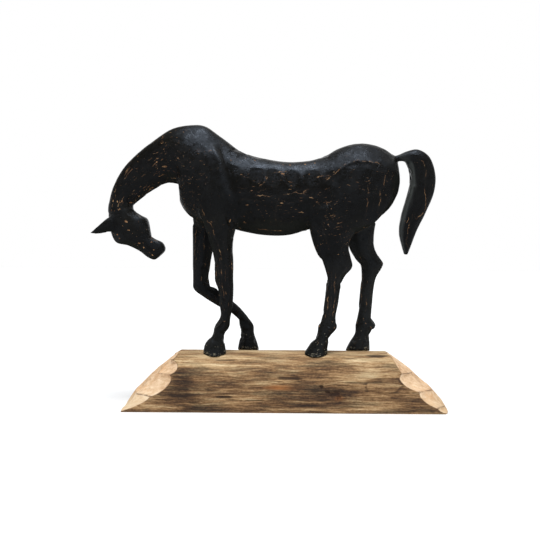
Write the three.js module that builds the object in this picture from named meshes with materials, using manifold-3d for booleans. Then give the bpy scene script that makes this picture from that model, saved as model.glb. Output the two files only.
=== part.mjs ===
// Carved wooden horse with a bowed neck, standing on a split half log.
// Millimetres, +Z up. Origin: centre of the log's flat underside.
// The horse faces -X; its near (left) side is -Y.

import * as THREE from 'three';
import { mergeVertices } from 'three/addons/utils/BufferGeometryUtils.js';
import Module from 'manifold-3d';

const wasm = await Module();
wasm.setup();

// ---------------------------------------------------------------- main sizes

const LOG_LENGTH = 446.6;      // tip to tip along the underside
const LOG_HALF_WIDTH = 62;     // half of the sawn underside
const LOG_HEIGHT = 78;         // underside to crest
const LOG_ROUNDNESS = 3;       // exponent of the half-round section
const HEWN_RUN_LEFT = 74;      // how far the left end slopes back at the crest
const HEWN_RUN_RIGHT = 82;     // the same at the right end
const HEWN_BOW_LEFT = 1.45;    // how full the slope is, 1 is a straight slope
const HEWN_BOW_RIGHT = 1.42;
const HEWN_ROUND = 35;         // how far the ends fall back at the sides
const GOUGE_RADIUS = 42;       // sweep of the gouge that hewed the ends
const GOUGE_DEPTH = 3.6;       // depth of one gouge cut
const GOUGE_ROWS = 4;          // rows of cuts up each end
const GOUGE_FIRST = 19;        // height of the lowest row
const GOUGE_PITCH = 22;        // from row to row
const SOLE_GAP = 0.3;          // the hooves rest this far above the log

// --------------------------------------------------- stations of each member
// One row is one section through the member:
//   name, centre x, centre z, width across the section in the side view,
//   depth from side to side, tilt of the section line in degrees, centre y.

const TRUNK = [
  ['tail_seat',     155, 329.5, 31.5, 24, -83.5, 0],
  ['buttock',       149.5, 326, 56, 50, -82, 0],
  ['point_of_rump', 134, 319.5, 89.5, 70, -83.5, 0],
  ['croup',         101.5, 310, 117.5, 82, -89.5, 0],
  ['hip',           70, 304.5, 117.5, 82, -94.5, 0],
  ['flank',         37.5, 297.5, 100.5, 76, -96, 0],
  ['loin',          2, 291, 102, 78, -93.5, 0],
  ['barrel',        -33.5, 293.5, 106, 80, -92, 0],
  ['girth',         -66.5, 301, 109, 76, -94, 0],
  ['shoulder',      -101.5, 313.5, 126, 73, -98.5, 0],
  ['withers',       -128, 330.5, 124.5, 66, -100.5, 0],
  ['chest',         -145, 339.5, 106, 57, -95.5, 0],
  ['neck_root',     -157, 348, 78.5, 48, -83.5, 0],
  ['neck_low',      -175, 342, 63, 41, -71.5, 0],
  ['neck_mid',      -195.5, 329, 54.5, 36, -58.5, 0],
  ['neck_high',     -212.5, 314, 48.5, 32, -47, 0],
  ['nape',          -224.5, 297.5, 41, 30, -27, 0],
  ['throat',        -232, 282.5, 33.5, 30, -9, 0],
  ['throat_latch',  -233, 273.5, 33, 30.4, 4, 0],
];

const HEAD = [
  ['poll',    -234, 280.5, 28, 24, -1, 0],
  ['ear_set', -228.5, 265.5, 43, 33, 8, 0],
  ['brow',    -221, 252.5, 54.5, 35, 20.5, 0],
  ['eye',     -215, 237.5, 51, 33, 20.5, 0],
  ['cheek',   -205.5, 230.5, 36, 28, 20, 0],
  ['bridge',  -194.5, 225, 29.5, 23, 32.5, 0],
  ['nostril', -183.5, 218, 29, 22, 48.5, 0],
  ['lips',    -177.5, 213, 22.5, 19, 47.5, 0],
  ['muzzle',  -175.5, 212, 13.5, 15, 43.5, 0],
];

const EAR = [
  ['root',  -240.5, 255.5, 25, 12, -88, -9.5],
  ['base',  -248, 253, 19.5, 11, -80.5, -10.5],
  ['belly', -257.5, 248.5, 13, 8.4, -79.5, -11.5],
  ['blade', -265.5, 244.5, 7.5, 6, -80, -12],
  ['tip',   -273, 241, 1.5, 2.4, -84.5, -12],
];

const NEAR_FORELEG = [
  ['blade_top',   -107.5, 359.5, 14, 12, -5.5, -20],
  ['blade',       -101, 341.5, 31, 22, -4.5, -23],
  ['shoulder',    -98, 311.5, 43, 29, -3.5, -23.5],
  ['upper_arm',   -95.5, 278.5, 50.5, 31, -2.5, -24],
  ['elbow',       -92.5, 251, 43, 29, -3.5, -24],
  ['forearm',     -90.5, 228.5, 31.5, 26, -1, -24],
  ['forearm_low', -87, 202.5, 26, 23, 0.5, -24],
  ['knee',        -87, 178.5, 26.5, 22, -2.5, -24],
  ['below_knee',  -84, 163, 21, 19, -5, -24],
  ['cannon',      -83.5, 141.5, 17.5, 16.4, -2, -24],
  ['cannon_low',  -84.5, 126.5, 14, 15.6, -9.5, -24],
  ['fetlock',     -89.5, 113, 20.5, 19.2, -1, -24],
  ['pastern',     -93.5, 103.5, 15.5, 18, -5.5, -24],
  ['hoof_wall',   -98.5, 90, 27, 24, -1, -24],
  ['sole',        -99, 78.5, 31.5, 27, 0.5, -24],
  ['below',       -98.5, 65, 31, 27, 0.5, -24],
];

const FAR_FORELEG = [
  ['blade',       -117, 328.5, 31.5, 26, -2, 21],
  ['shoulder',    -115.5, 297, 35, 28, 0.5, 22],
  ['upper_arm',   -117.5, 261.5, 33, 28, -4.5, 22],
  ['forearm',     -118, 233, 31, 26, 0.5, 22],
  ['forearm_low', -120.5, 201.5, 25.5, 23, 0.5, 22],
  ['knee_top',    -121.5, 177.5, 23, 22, 0.5, 22],
  ['knee',        -120, 166.5, 24.5, 21, 12.5, 22],
  ['below_knee',  -107.5, 157.5, 24, 19, 24.5, 22],
  ['cannon',      -91, 146, 19.5, 16.4, 34, 22],
  ['cannon_low',  -73.5, 134, 16, 16, 30, 22],
  ['fetlock_top', -62, 123, 15, 17.6, 8, 22],
  ['fetlock',     -57, 111.5, 21.5, 19.2, 2, 22],
  ['pastern',     -55, 101, 19, 18, 1.5, 22],
  ['hoof_wall',   -54, 88.5, 25.5, 24, 0.5, 22],
  ['sole',        -53.5, 77, 30.5, 27, 0.5, 22],
  ['below',       -53.5, 63, 30.5, 27, 0.5, 22],
];

const NEAR_HIND_LEG = [
  ['haunch',     102, 325, 84, 26, 4, -20],
  ['thigh',      90, 287, 105, 34, 4, -25],
  ['stifle',     76, 256, 91, 34, 5, -25],
  ['gaskin_top', 63.5, 238.5, 59.5, 31, 9, -25],
  ['gaskin',     62.5, 221.5, 45, 27, 12, -24.5],
  ['hock_top',   67.5, 207.5, 40.5, 24, 8, -24],
  ['hock',       71, 196.5, 38, 23, 3.5, -24],
  ['below_hock', 66.5, 184, 26, 20.4, -2.5, -24],
  ['cannon_top', 64, 169.5, 20.5, 18.4, 0.5, -24],
  ['cannon',     61, 146, 19.5, 16.4, 0.5, -24],
  ['cannon_low', 58, 128, 19, 16, -3.5, -24],
  ['fetlock',    56.5, 114.5, 26, 20, -5, -24],
  ['pastern',    51.5, 103, 19, 18.8, -6.5, -24],
  ['hoof_wall',  44, 87.5, 26, 24, -4, -24],
  ['sole',       40, 74.5, 33, 27.6, 0.5, -24],
  ['below',      40.5, 60.5, 33, 27.6, 0.5, -24],
];

const FAR_HIND_LEG = [
  ['haunch',     111.5, 294, 58.5, 30, 6, 21],
  ['thigh',      105, 268, 48.5, 32, 5.5, 22],
  ['gaskin_top', 104.5, 241.5, 38.5, 30, 4.5, 22],
  ['gaskin',     107, 222.5, 35.5, 26, 0, 22],
  ['hock_top',   114, 210, 34.5, 24, 2.5, 22],
  ['hock',       121.5, 197.5, 32.5, 23, 7, 22],
  ['below_hock', 117, 182.5, 21.5, 20.4, 2, 22],
  ['cannon_top', 114.5, 166.5, 19, 18.4, 0.5, 22],
  ['cannon',     112.5, 143.5, 19, 16.4, 0.5, 22],
  ['cannon_low', 111.5, 126, 20, 16, -8, 22],
  ['fetlock',    113, 114, 28.5, 20, -4.5, 22],
  ['pastern',    108.5, 102, 21, 18.4, -1, 22],
  ['hoof_wall',  104.5, 89, 28.5, 24, 0.5, 22],
  ['sole',       102, 77.5, 34, 27.6, 0.5, 22],
  ['below',      102, 64, 34, 27.6, 0.5, 22],
];

const TAIL = [
  ['seat',  137.5, 350, 12, 8, -89.5, 0],
  ['root',  153, 349, 8.5, 9, -84, 0],
  ['rise',  163, 351, 15, 14, -105.5, 0],
  ['crown', 174.5, 348.5, 29, 19, -117, 0],
  ['arch',  184, 337, 40, 22, -131, 0],
  ['swell', 188, 318.5, 41.5, 23, -151.5, 0],
  ['turn',  185, 296.5, 42.5, 22, -161.5, 0],
  ['blade', 176.5, 270.5, 36.5, 19, -167, 0],
  ['lower', 169, 247, 25.5, 15, -172.5, 0],
  ['point', 167, 227, 13.5, 10, -177, 0],
  ['tip',   166.5, 214.5, 5, 5, -179.5, 0],
];

// ------------------------------------------------------------------ helpers

const signedPower = (v, p) => Math.sign(v) * Math.pow(Math.abs(v), p);

// The two ends of a section line as points, with y and half depth carried in z.
function sectionEnds([, x, z, width, depth, tilt, y]) {
  const a = THREE.MathUtils.degToRad(tilt);
  const ux = Math.cos(a) * width / 2;
  const uz = Math.sin(a) * width / 2;
  return [new THREE.Vector3(x - ux, z - uz, y), new THREE.Vector3(x + ux, z + uz, depth / 2)];
}

// A member: a drum whose rows are laid on the stations' sections, smoothly
// interpolated. `sides` is the number of flats round it, `square` the exponent
// of the section (2 is an ellipse), `low` drops the widest place of the section.
function carveMember(stations, { rows = 2, sides = 12, square = 2.3, low = 0, mirror = 1 }) {
  const ends = stations.map(sectionEnds);
  const first = new THREE.CatmullRomCurve3(ends.map((e) => e[0]), false, 'centripetal');
  const second = new THREE.CatmullRomCurve3(ends.map((e) => e[1]), false, 'centripetal');
  const count = (stations.length - 1) * rows;
  const drum = new THREE.CylinderGeometry(1, 1, 1, sides, count, false);
  const pos = drum.attributes.position;
  const p = new THREE.Vector3();
  for (let i = 0; i < pos.count; i++) {
    p.fromBufferAttribute(pos, i);
    const t = THREE.MathUtils.clamp(0.5 - p.y, 0, 1);
    const a = first.getPoint(t);
    const b = second.getPoint(t);
    const r = Math.hypot(p.x, p.z);
    let u = 0;
    let v = 0;
    if (r > 1e-6) {
      // turn by half a flat so that a flat, not an edge, faces each way
      const turn = Math.atan2(p.z, p.x) + Math.PI / sides;
      u = signedPower(Math.cos(turn), 2 / square);
      v = signedPower(Math.sin(turn), 2 / square);
    }
    // section ends reach their full width although no edge lies on them
    const reach = u / signedPower(Math.cos(Math.PI / sides), 2 / square);
    const k = THREE.MathUtils.clamp((1 + reach) / 2, 0, 1);
    pos.setXYZ(i, a.x + (b.x - a.x) * k, mirror * (a.z + v * b.z * (1 + low * u)), a.y + (b.y - a.y) * k);
  }
  return solid(drum);
}

// A closed body from a geometry, with its faces turned outwards.
function solid(geometry) {
  const g = geometry.clone();
  g.deleteAttribute('normal');
  g.deleteAttribute('uv');
  const m = mergeVertices(g, 1e-4);
  const v = m.attributes.position.array;
  const tri = Array.from(m.index.array);
  let volume = 0;
  for (let i = 0; i < tri.length; i += 3) {
    const [a, b, c] = [tri[i] * 3, tri[i + 1] * 3, tri[i + 2] * 3];
    volume += v[a] * (v[b + 1] * v[c + 2] - v[b + 2] * v[c + 1])
      - v[a + 1] * (v[b] * v[c + 2] - v[b + 2] * v[c])
      + v[a + 2] * (v[b] * v[c + 1] - v[b + 1] * v[c]);
  }
  if (volume < 0) for (let i = 0; i < tri.length; i += 3) [tri[i], tri[i + 1]] = [tri[i + 1], tri[i]];
  return new wasm.Manifold(new wasm.Mesh({
    numProp: 3, vertProperties: Float32Array.from(v), triVerts: Uint32Array.from(tri),
  }));
}

function toGeometry(body) {
  const out = body.getMesh();
  const g = new THREE.BufferGeometry();
  g.setAttribute('position', new THREE.BufferAttribute(Float32Array.from(out.vertProperties), 3));
  g.setIndex(new THREE.BufferAttribute(Uint32Array.from(out.triVerts), 1));
  g.computeVertexNormals();
  return g;
}

// ------------------------------------------------------------------- the log

// Half width of the log at a height.
const logHalfWidth = (z) => LOG_HALF_WIDTH
  * Math.pow(Math.max(1 - Math.pow(Math.min(Math.max(z, 0) / LOG_HEIGHT, 1), LOG_ROUNDNESS), 0), 1 / LOG_ROUNDNESS);

// Where the hewn end lies along x, at a place of the section. side: -1 or 1.
// The ends fall back towards the sides, most of all a third of the way up.
function hewnEnd(side, y, z) {
  const run = side < 0 ? HEWN_RUN_LEFT : HEWN_RUN_RIGHT;
  const bow = side < 0 ? HEWN_BOW_LEFT : HEWN_BOW_RIGHT;
  const high = THREE.MathUtils.clamp(z / LOG_HEIGHT, 0, 1);
  const across = Math.min(Math.abs(y) / Math.max(logHalfWidth(z), 12), 1);
  const back = HEWN_ROUND * Math.sin(Math.PI * Math.pow(high, 0.7)) * Math.pow(across, 3);
  return side * (LOG_LENGTH / 2 - run * Math.pow(high, bow) - back);
}

// The half-round section: flat below, superellipse above. angle 0..2pi.
function logSection(angle, grow) {
  const w = LOG_HALF_WIDTH + grow;
  const h = LOG_HEIGHT + grow;
  const c = Math.cos(angle);
  const s = Math.sin(angle);
  if (s >= -1e-9) {
    const up = Math.max(s, 0);
    const reach = Math.pow(Math.pow(Math.abs(c), LOG_ROUNDNESS) + Math.pow(up, LOG_ROUNDNESS), -1 / LOG_ROUNDNESS);
    return [c * reach * w, up * reach * h];
  }
  return [w * (1 - 2 * (angle - Math.PI) / Math.PI) * -1, 0];
}

// The log's body: rows along x, closed at both ends by rows that draw in.
function logBody({ grow = 0, sides = 36, rows = 6, rings = [0.35, 0.7, 0.9] } = {}) {
  const plan = [...rings.map((r) => [0, r]), ...Array.from({ length: rows + 1 }, (_, i) => [i / rows, 1]),
    ...[...rings].reverse().map((r) => [1, r])];
  const drum = new THREE.CylinderGeometry(1, 1, 1, sides, plan.length - 1, false);
  const pos = drum.attributes.position;
  const p = new THREE.Vector3();
  const midZ = LOG_HEIGHT * 0.42;
  for (let i = 0; i < pos.count; i++) {
    p.fromBufferAttribute(pos, i);
    const row = Math.round((0.5 - p.y) * (plan.length - 1));
    const [s, draw] = plan[row];
    const r = Math.hypot(p.x, p.z);
    let y = 0;
    let z = midZ;
    if (r > 1e-6) {
      let angle = Math.atan2(p.z, p.x);
      if (angle < -1e-9) angle += 2 * Math.PI;
      [y, z] = logSection(angle, grow);
      y *= draw;
      z = midZ + (z - midZ) * draw;
    }
    const x = THREE.MathUtils.lerp(hewnEnd(-1, y, z), hewnEnd(1, y, z), s);
    pos.setXYZ(i, x, y, z);
  }
  return solid(drum);
}

// One gouge cut: a ball whose pole bites into the hewn end at y, z.
function gougeCut(side, y, z, depth = GOUGE_DEPTH) {
  const e = 2;
  const at = new THREE.Vector3(hewnEnd(side, y, z), y, z);
  const alongY = new THREE.Vector3(hewnEnd(side, y + e, z) - hewnEnd(side, y - e, z), 2 * e, 0);
  const alongZ = new THREE.Vector3(hewnEnd(side, y, z + e) - hewnEnd(side, y, z - e), 0, 2 * e);
  const out = new THREE.Vector3().crossVectors(alongY, alongZ).normalize();
  if (out.x * side < 0) out.negate();
  const ball = new THREE.SphereGeometry(GOUGE_RADIUS, 12, 18);
  ball.applyQuaternion(new THREE.Quaternion().setFromUnitVectors(new THREE.Vector3(0, -1, 0), out.clone().negate()));
  ball.translate(...at.addScaledVector(out, GOUGE_RADIUS - depth).toArray());
  return solid(ball);
}

function carveLog() {
  let body = logBody();
  for (const side of [-1, 1]) {
    for (let row = 0; row < GOUGE_ROWS; row++) {
      const z = Math.min(GOUGE_FIRST + row * GOUGE_PITCH, LOG_HEIGHT - 2);
      const half = logHalfWidth(z);
      const across = row % 2 ? [-0.82, 0, 0.82] : [-0.86, -0.28, 0.28, 0.86];
      for (const f of across) body = body.subtract(gougeCut(side, f * half, z));
    }
  }
  return body;
}

// ------------------------------------------------------------------ the horse

const LEG = { rows: 1, sides: 12, square: 2.5 };

function carveHorse() {
  const members = [
    carveMember(TRUNK, { rows: 2, sides: 20, square: 2.2, low: 0.1 }),
    carveMember(HEAD, { rows: 2, sides: 14, square: 2.3, low: 0.06 }),
    carveMember(EAR, { rows: 1, sides: 8, square: 2 }),
    carveMember(EAR, { rows: 1, sides: 8, square: 2, mirror: -1 }),
    carveMember(NEAR_FORELEG, LEG),
    carveMember(FAR_FORELEG, LEG),
    carveMember(NEAR_HIND_LEG, LEG),
    carveMember(FAR_HIND_LEG, LEG),
    carveMember(TAIL, { rows: 2, sides: 8, square: 2.4 }),
  ];
  let body = members[0];
  for (const m of members.slice(1)) body = body.add(m);
  // the soles follow the round of the log
  return body.subtract(logBody({ grow: SOLE_GAP }));
}

// ------------------------------------------------------------------ the model

const paintedWood = new THREE.MeshStandardMaterial({ color: 0x20201f, roughness: 0.5, metalness: 0 });
const bareWood = new THREE.MeshStandardMaterial({ color: 0xb08f66, roughness: 0.8, metalness: 0 });

const horse = new THREE.Mesh(toGeometry(carveHorse()), paintedWood);
horse.name = 'horse';

const logBase = new THREE.Mesh(toGeometry(carveLog()), bareWood);
logBase.name = 'log_base';

const group = new THREE.Group();
group.add(logBase);
group.add(horse);

export default group;
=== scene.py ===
import bpy, math
import numpy as np
import openvdb
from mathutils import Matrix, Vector


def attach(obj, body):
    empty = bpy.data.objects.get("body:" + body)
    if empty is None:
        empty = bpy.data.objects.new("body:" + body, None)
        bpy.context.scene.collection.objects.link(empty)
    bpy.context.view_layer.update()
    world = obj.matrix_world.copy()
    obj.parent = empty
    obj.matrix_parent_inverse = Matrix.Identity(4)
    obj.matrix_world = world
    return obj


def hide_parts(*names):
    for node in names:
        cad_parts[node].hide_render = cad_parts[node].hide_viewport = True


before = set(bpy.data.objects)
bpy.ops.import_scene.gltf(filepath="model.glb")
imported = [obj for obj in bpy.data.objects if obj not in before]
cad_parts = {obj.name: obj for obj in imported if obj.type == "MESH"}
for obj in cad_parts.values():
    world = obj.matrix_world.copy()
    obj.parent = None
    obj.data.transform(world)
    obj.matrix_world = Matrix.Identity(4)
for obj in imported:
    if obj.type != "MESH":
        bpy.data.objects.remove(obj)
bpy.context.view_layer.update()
MM = 0.001

# ---------------------------------------------------------------- main sizes (mm)
LOG_LENGTH = 446.6
LOG_HALF_WIDTH = 62.0
LOG_HEIGHT = 78.0
LOG_ROUNDNESS = 3.0
HEWN_RUN = {-1: 74.0, 1: 82.0}
HEWN_BOW = {-1: 1.45, 1: 1.42}
HEWN_ROUND = 35.0
SOLE_GAP = 0.35

# Stations of each member, as in the model: name, centre x, centre z, width across the
# section in the side view, depth from side to side, tilt of the section line, centre y.
TRUNK = [
    ('tail_seat',     155, 329.5, 31.5, 24, -83.5, 0),
    ('buttock',       149.5, 326, 56, 50, -82, 0),
    ('point_of_rump', 134, 319.5, 89.5, 70, -83.5, 0),
    ('croup',         101.5, 310, 117.5, 82, -89.5, 0),
    ('hip',           70, 304.5, 117.5, 82, -94.5, 0),
    ('flank',         37.5, 297.5, 100.5, 76, -96, 0),
    ('loin',          2, 291, 102, 78, -93.5, 0),
    ('barrel',        -33.5, 293.5, 106, 80, -92, 0),
    ('girth',         -66.5, 301, 109, 76, -94, 0),
    ('shoulder',      -101.5, 313.5, 126, 73, -98.5, 0),
    ('withers',       -128, 330.5, 124.5, 66, -100.5, 0),
    ('chest',         -145, 339.5, 106, 57, -95.5, 0),
    ('neck_root',     -157, 348, 78.5, 48, -83.5, 0),
    ('neck_low',      -175, 342, 63, 41, -71.5, 0),
    ('neck_mid',      -195.5, 329, 54.5, 36, -58.5, 0),
    ('neck_high',     -212.5, 314, 48.5, 32, -47, 0),
    ('nape',          -224.5, 297.5, 41, 30, -27, 0),
    ('throat',        -232, 282.5, 33.5, 30, -9, 0),
    ('throat_latch',  -233, 273.5, 33, 30.4, 4, 0),
]
HEAD = [
    ('poll',    -234, 280.5, 28, 24, -1, 0),
    ('ear_set', -228.5, 265.5, 43, 33, 8, 0),
    ('brow',    -221, 252.5, 54.5, 35, 20.5, 0),
    ('eye',     -215, 237.5, 51, 33, 20.5, 0),
    ('cheek',   -205.5, 230.5, 36, 28, 20, 0),
    ('bridge',  -194.5, 225, 29.5, 23, 32.5, 0),
    ('nostril', -183.5, 218, 29, 22, 48.5, 0),
    ('lips',    -177.5, 213, 22.5, 19, 47.5, 0),
    ('muzzle',  -175.5, 212, 13.5, 15, 43.5, 0),
]
EAR = [
    ('root',  -240.5, 255.5, 25, 12, -88, -9.5),
    ('base',  -248, 253, 19.5, 11, -80.5, -10.5),
    ('belly', -257.5, 248.5, 13, 8.4, -79.5, -11.5),
    ('blade', -265.5, 244.5, 7.5, 6, -80, -12),
    ('tip',   -273, 241, 1.5, 2.4, -84.5, -12),
]
NEAR_FORELEG = [
    ('blade_top',   -107.5, 359.5, 14, 12, -5.5, -20),
    ('blade',       -101, 341.5, 31, 22, -4.5, -23),
    ('shoulder',    -98, 311.5, 43, 29, -3.5, -23.5),
    ('upper_arm',   -95.5, 278.5, 50.5, 31, -2.5, -24),
    ('elbow',       -92.5, 251, 43, 29, -3.5, -24),
    ('forearm',     -90.5, 228.5, 31.5, 26, -1, -24),
    ('forearm_low', -87, 202.5, 26, 23, 0.5, -24),
    ('knee',        -87, 178.5, 26.5, 22, -2.5, -24),
    ('below_knee',  -84, 163, 21, 19, -5, -24),
    ('cannon',      -83.5, 141.5, 17.5, 16.4, -2, -24),
    ('cannon_low',  -84.5, 126.5, 14, 15.6, -9.5, -24),
    ('fetlock',     -89.5, 113, 20.5, 19.2, -1, -24),
    ('pastern',     -93.5, 103.5, 15.5, 18, -5.5, -24),
    ('hoof_wall',   -98.5, 90, 27, 24, -1, -24),
    ('sole',        -99, 78.5, 31.5, 27, 0.5, -24),
    ('below',       -98.5, 65, 31, 27, 0.5, -24),
]
FAR_FORELEG = [
    ('blade',       -117, 328.5, 31.5, 26, -2, 21),
    ('shoulder',    -115.5, 297, 35, 28, 0.5, 22),
    ('upper_arm',   -117.5, 261.5, 33, 28, -4.5, 22),
    ('forearm',     -118, 233, 31, 26, 0.5, 22),
    ('forearm_low', -120.5, 201.5, 25.5, 23, 0.5, 22),
    ('knee_top',    -121.5, 177.5, 23, 22, 0.5, 22),
    ('knee',        -120, 166.5, 24.5, 21, 12.5, 22),
    ('below_knee',  -107.5, 157.5, 24, 19, 24.5, 22),
    ('cannon',      -91, 146, 19.5, 16.4, 34, 22),
    ('cannon_low',  -73.5, 134, 16, 16, 30, 22),
    ('fetlock_top', -62, 123, 15, 17.6, 8, 22),
    ('fetlock',     -57, 111.5, 21.5, 19.2, 2, 22),
    ('pastern',     -55, 101, 19, 18, 1.5, 22),
    ('hoof_wall',   -54, 88.5, 25.5, 24, 0.5, 22),
    ('sole',        -53.5, 77, 30.5, 27, 0.5, 22),
    ('below',       -53.5, 63, 30.5, 27, 0.5, 22),
]
NEAR_HIND_LEG = [
    ('haunch',     102, 325, 84, 26, 4, -20),
    ('thigh',      90, 287, 105, 34, 4, -25),
    ('stifle',     76, 256, 91, 34, 5, -25),
    ('gaskin_top', 63.5, 238.5, 59.5, 31, 9, -25),
    ('gaskin',     62.5, 221.5, 45, 27, 12, -24.5),
    ('hock_top',   67.5, 207.5, 40.5, 24, 8, -24),
    ('hock',       71, 196.5, 38, 23, 3.5, -24),
    ('below_hock', 66.5, 184, 26, 20.4, -2.5, -24),
    ('cannon_top', 64, 169.5, 20.5, 18.4, 0.5, -24),
    ('cannon',     61, 146, 19.5, 16.4, 0.5, -24),
    ('cannon_low', 58, 128, 19, 16, -3.5, -24),
    ('fetlock',    56.5, 114.5, 26, 20, -5, -24),
    ('pastern',    51.5, 103, 19, 18.8, -6.5, -24),
    ('hoof_wall',  44, 87.5, 26, 24, -4, -24),
    ('sole',       40, 74.5, 33, 27.6, 0.5, -24),
    ('below',      40.5, 60.5, 33, 27.6, 0.5, -24),
]
FAR_HIND_LEG = [
    ('haunch',     111.5, 294, 58.5, 30, 6, 21),
    ('thigh',      105, 268, 48.5, 32, 5.5, 22),
    ('gaskin_top', 104.5, 241.5, 38.5, 30, 4.5, 22),
    ('gaskin',     107, 222.5, 35.5, 26, 0, 22),
    ('hock_top',   114, 210, 34.5, 24, 2.5, 22),
    ('hock',       121.5, 197.5, 32.5, 23, 7, 22),
    ('below_hock', 117, 182.5, 21.5, 20.4, 2, 22),
    ('cannon_top', 114.5, 166.5, 19, 18.4, 0.5, 22),
    ('cannon',     112.5, 143.5, 19, 16.4, 0.5, 22),
    ('cannon_low', 111.5, 126, 20, 16, -8, 22),
    ('fetlock',    113, 114, 28.5, 20, -4.5, 22),
    ('pastern',    108.5, 102, 21, 18.4, -1, 22),
    ('hoof_wall',  104.5, 89, 28.5, 24, 0.5, 22),
    ('sole',       102, 77.5, 34, 27.6, 0.5, 22),
    ('below',      102, 64, 34, 27.6, 0.5, 22),
]
TAIL = [
    ('seat',  137.5, 350, 12, 8, -89.5, 0),
    ('root',  153, 349, 8.5, 9, -84, 0),
    ('rise',  163, 351, 15, 14, -105.5, 0),
    ('crown', 174.5, 348.5, 29, 19, -117, 0),
    ('arch',  184, 337, 40, 22, -131, 0),
    ('swell', 188, 318.5, 41.5, 23, -151.5, 0),
    ('turn',  185, 296.5, 42.5, 22, -161.5, 0),
    ('blade', 176.5, 270.5, 36.5, 19, -167, 0),
    ('lower', 169, 247, 25.5, 15, -172.5, 0),
    ('point', 167, 227, 13.5, 10, -177, 0),
    ('tip',   166.5, 214.5, 5, 5, -179.5, 0),
]

# ------------------------------------------------------------- lofting a member

def ends(stations):
    out = []
    for _, x, z, w, d, tilt, y in stations:
        a = math.radians(tilt)
        ux, uz = math.cos(a) * w / 2, math.sin(a) * w / 2
        out.append((x - ux, z - uz, x + ux, z + uz, y, d / 2))
    return np.array(out)


def smooth_rows(e, step):
    """Centripetal Catmull-Rom through the rows of e, A ends and B ends each on their own curve."""
    def curve(p, n):
        P = np.vstack([2 * p[0] - p[1], p, 2 * p[-1] - p[-2]])
        rows = []
        for i in range(len(p) - 1):
            q = P[i:i + 4]
            dt = [max(np.linalg.norm(q[j + 1] - q[j]) ** 0.5, 1e-4) for j in range(3)]
            u = np.arange(n[i]) / n[i]
            t1 = (q[1] - q[0]) / dt[0] - (q[2] - q[0]) / (dt[0] + dt[1]) + (q[2] - q[1]) / dt[1]
            t2 = (q[2] - q[1]) / dt[1] - (q[3] - q[1]) / (dt[1] + dt[2]) + (q[3] - q[2]) / dt[2]
            t1, t2 = t1 * dt[1], t2 * dt[1]
            u = u[:, None]
            rows.append(q[1] + t1 * u + (-3 * q[1] + 3 * q[2] - 2 * t1 - t2) * u ** 2
                        + (2 * q[1] - 2 * q[2] + t1 + t2) * u ** 3)
        rows.append(p[-1:])
        return np.vstack(rows)
    A = np.c_[e[:, 0], e[:, 1], e[:, 4]]
    B = np.c_[e[:, 2], e[:, 3], e[:, 5]]
    mid = (A[:, :2] + B[:, :2]) / 2
    n = np.maximum(np.ceil(np.linalg.norm(np.diff(mid, axis=0), axis=1) / step), 2).astype(int)
    a, b = curve(A, n), curve(B, n)
    return np.c_[a[:, 0], a[:, 1], b[:, 0], b[:, 1], a[:, 2], b[:, 2]]


def section(sides, square, bevel, crisp, upper=None, upper_square=4.0):
    """Unit sections: |u|^p + |v|^p with bevel planes at 45 degrees; crisp is how sharp the arrises are.
    upper: a bevel of its own for the upper half of each row. Returns one row of sides, or one per row of upper."""
    th = (np.arange(sides) + 0.5) * 2 * math.pi / sides
    c, s = np.abs(np.cos(th)), np.abs(np.sin(th))

    def reach(p, bev):
        base = (c ** p + s ** p) ** (1 / p)
        return (base ** crisp + ((c + s) / bev) ** crisp) ** (1 / crisp) if bev else base

    r = np.repeat(reach(square, bevel)[None], 1 if upper is None else len(upper), 0)
    if upper is not None:
        top = np.cos(th) < 0
        for k, bev in enumerate(upper):
            r[k, top] = reach(upper_square, bev)[top]
    return np.cos(th) / r, np.sin(th) / r


def loft(stations, sides=48, step=2.5, square=2.3, low=0.0, bevel=0.0, crisp=12.0, mirror=1.0, upper=None, upper_square=4.0):
    e = ends(stations)
    rows = smooth_rows(e, step)
    if upper is not None:
        mid = (e[:, :2] + e[:, 2:4]) / 2
        at = np.r_[0, np.cumsum(np.linalg.norm(np.diff(mid, axis=0), axis=1))]
        here = (rows[:, :2] + rows[:, 2:4]) / 2
        run = np.r_[0, np.cumsum(np.linalg.norm(np.diff(here, axis=0), axis=1))]
        upper = np.interp(run / run[-1], at / at[-1], upper)
    u, v = section(sides, square, bevel, crisp, upper, upper_square)
    cx, cz = (rows[:, 0] + rows[:, 2]) / 2, (rows[:, 1] + rows[:, 3]) / 2
    hx, hz = (rows[:, 2] - rows[:, 0]) / 2, (rows[:, 3] - rows[:, 1]) / 2
    X = cx[:, None] + hx[:, None] * u
    Z = cz[:, None] + hz[:, None] * u
    Y = mirror * (rows[:, 4:5] + rows[:, 5:6] * v * (1 + low * u))
    ring = np.stack([X, Y, Z], -1)
    n, m = ring.shape[:2]
    pts = ring.reshape(-1, 3)
    i, j = np.meshgrid(np.arange(n - 1), np.arange(m), indexing="ij")
    j2 = (j + 1) % m
    quads = np.stack([i * m + j, i * m + j2, (i + 1) * m + j2, (i + 1) * m + j], -1).reshape(-1, 4)
    caps = np.vstack([pts[:m].mean(0), pts[-m:].mean(0)])
    k = np.arange(m)
    t0 = np.stack([np.full(m, n * m), (k + 1) % m, k], -1)
    t1 = np.stack([np.full(m, n * m + 1), (n - 1) * m + k, (n - 1) * m + (k + 1) % m], -1)
    pts = np.vstack([pts, caps])
    tris = np.vstack([quads[:, [0, 1, 2]], quads[:, [0, 2, 3]], t0, t1])
    v0, v1, v2 = (pts[tris[:, q]] for q in range(3))
    if np.einsum("ij,ij->i", v0, np.cross(v1, v2)).sum() < 0:
        tris = tris[:, ::-1]
    axis = np.stack([cx, np.sign(mirror) * rows[:, 4], cz], -1)
    return pts.astype(np.float32), tris.astype(np.uint32), axis


# ---------------------------------------------------------------- distance grids

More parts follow.
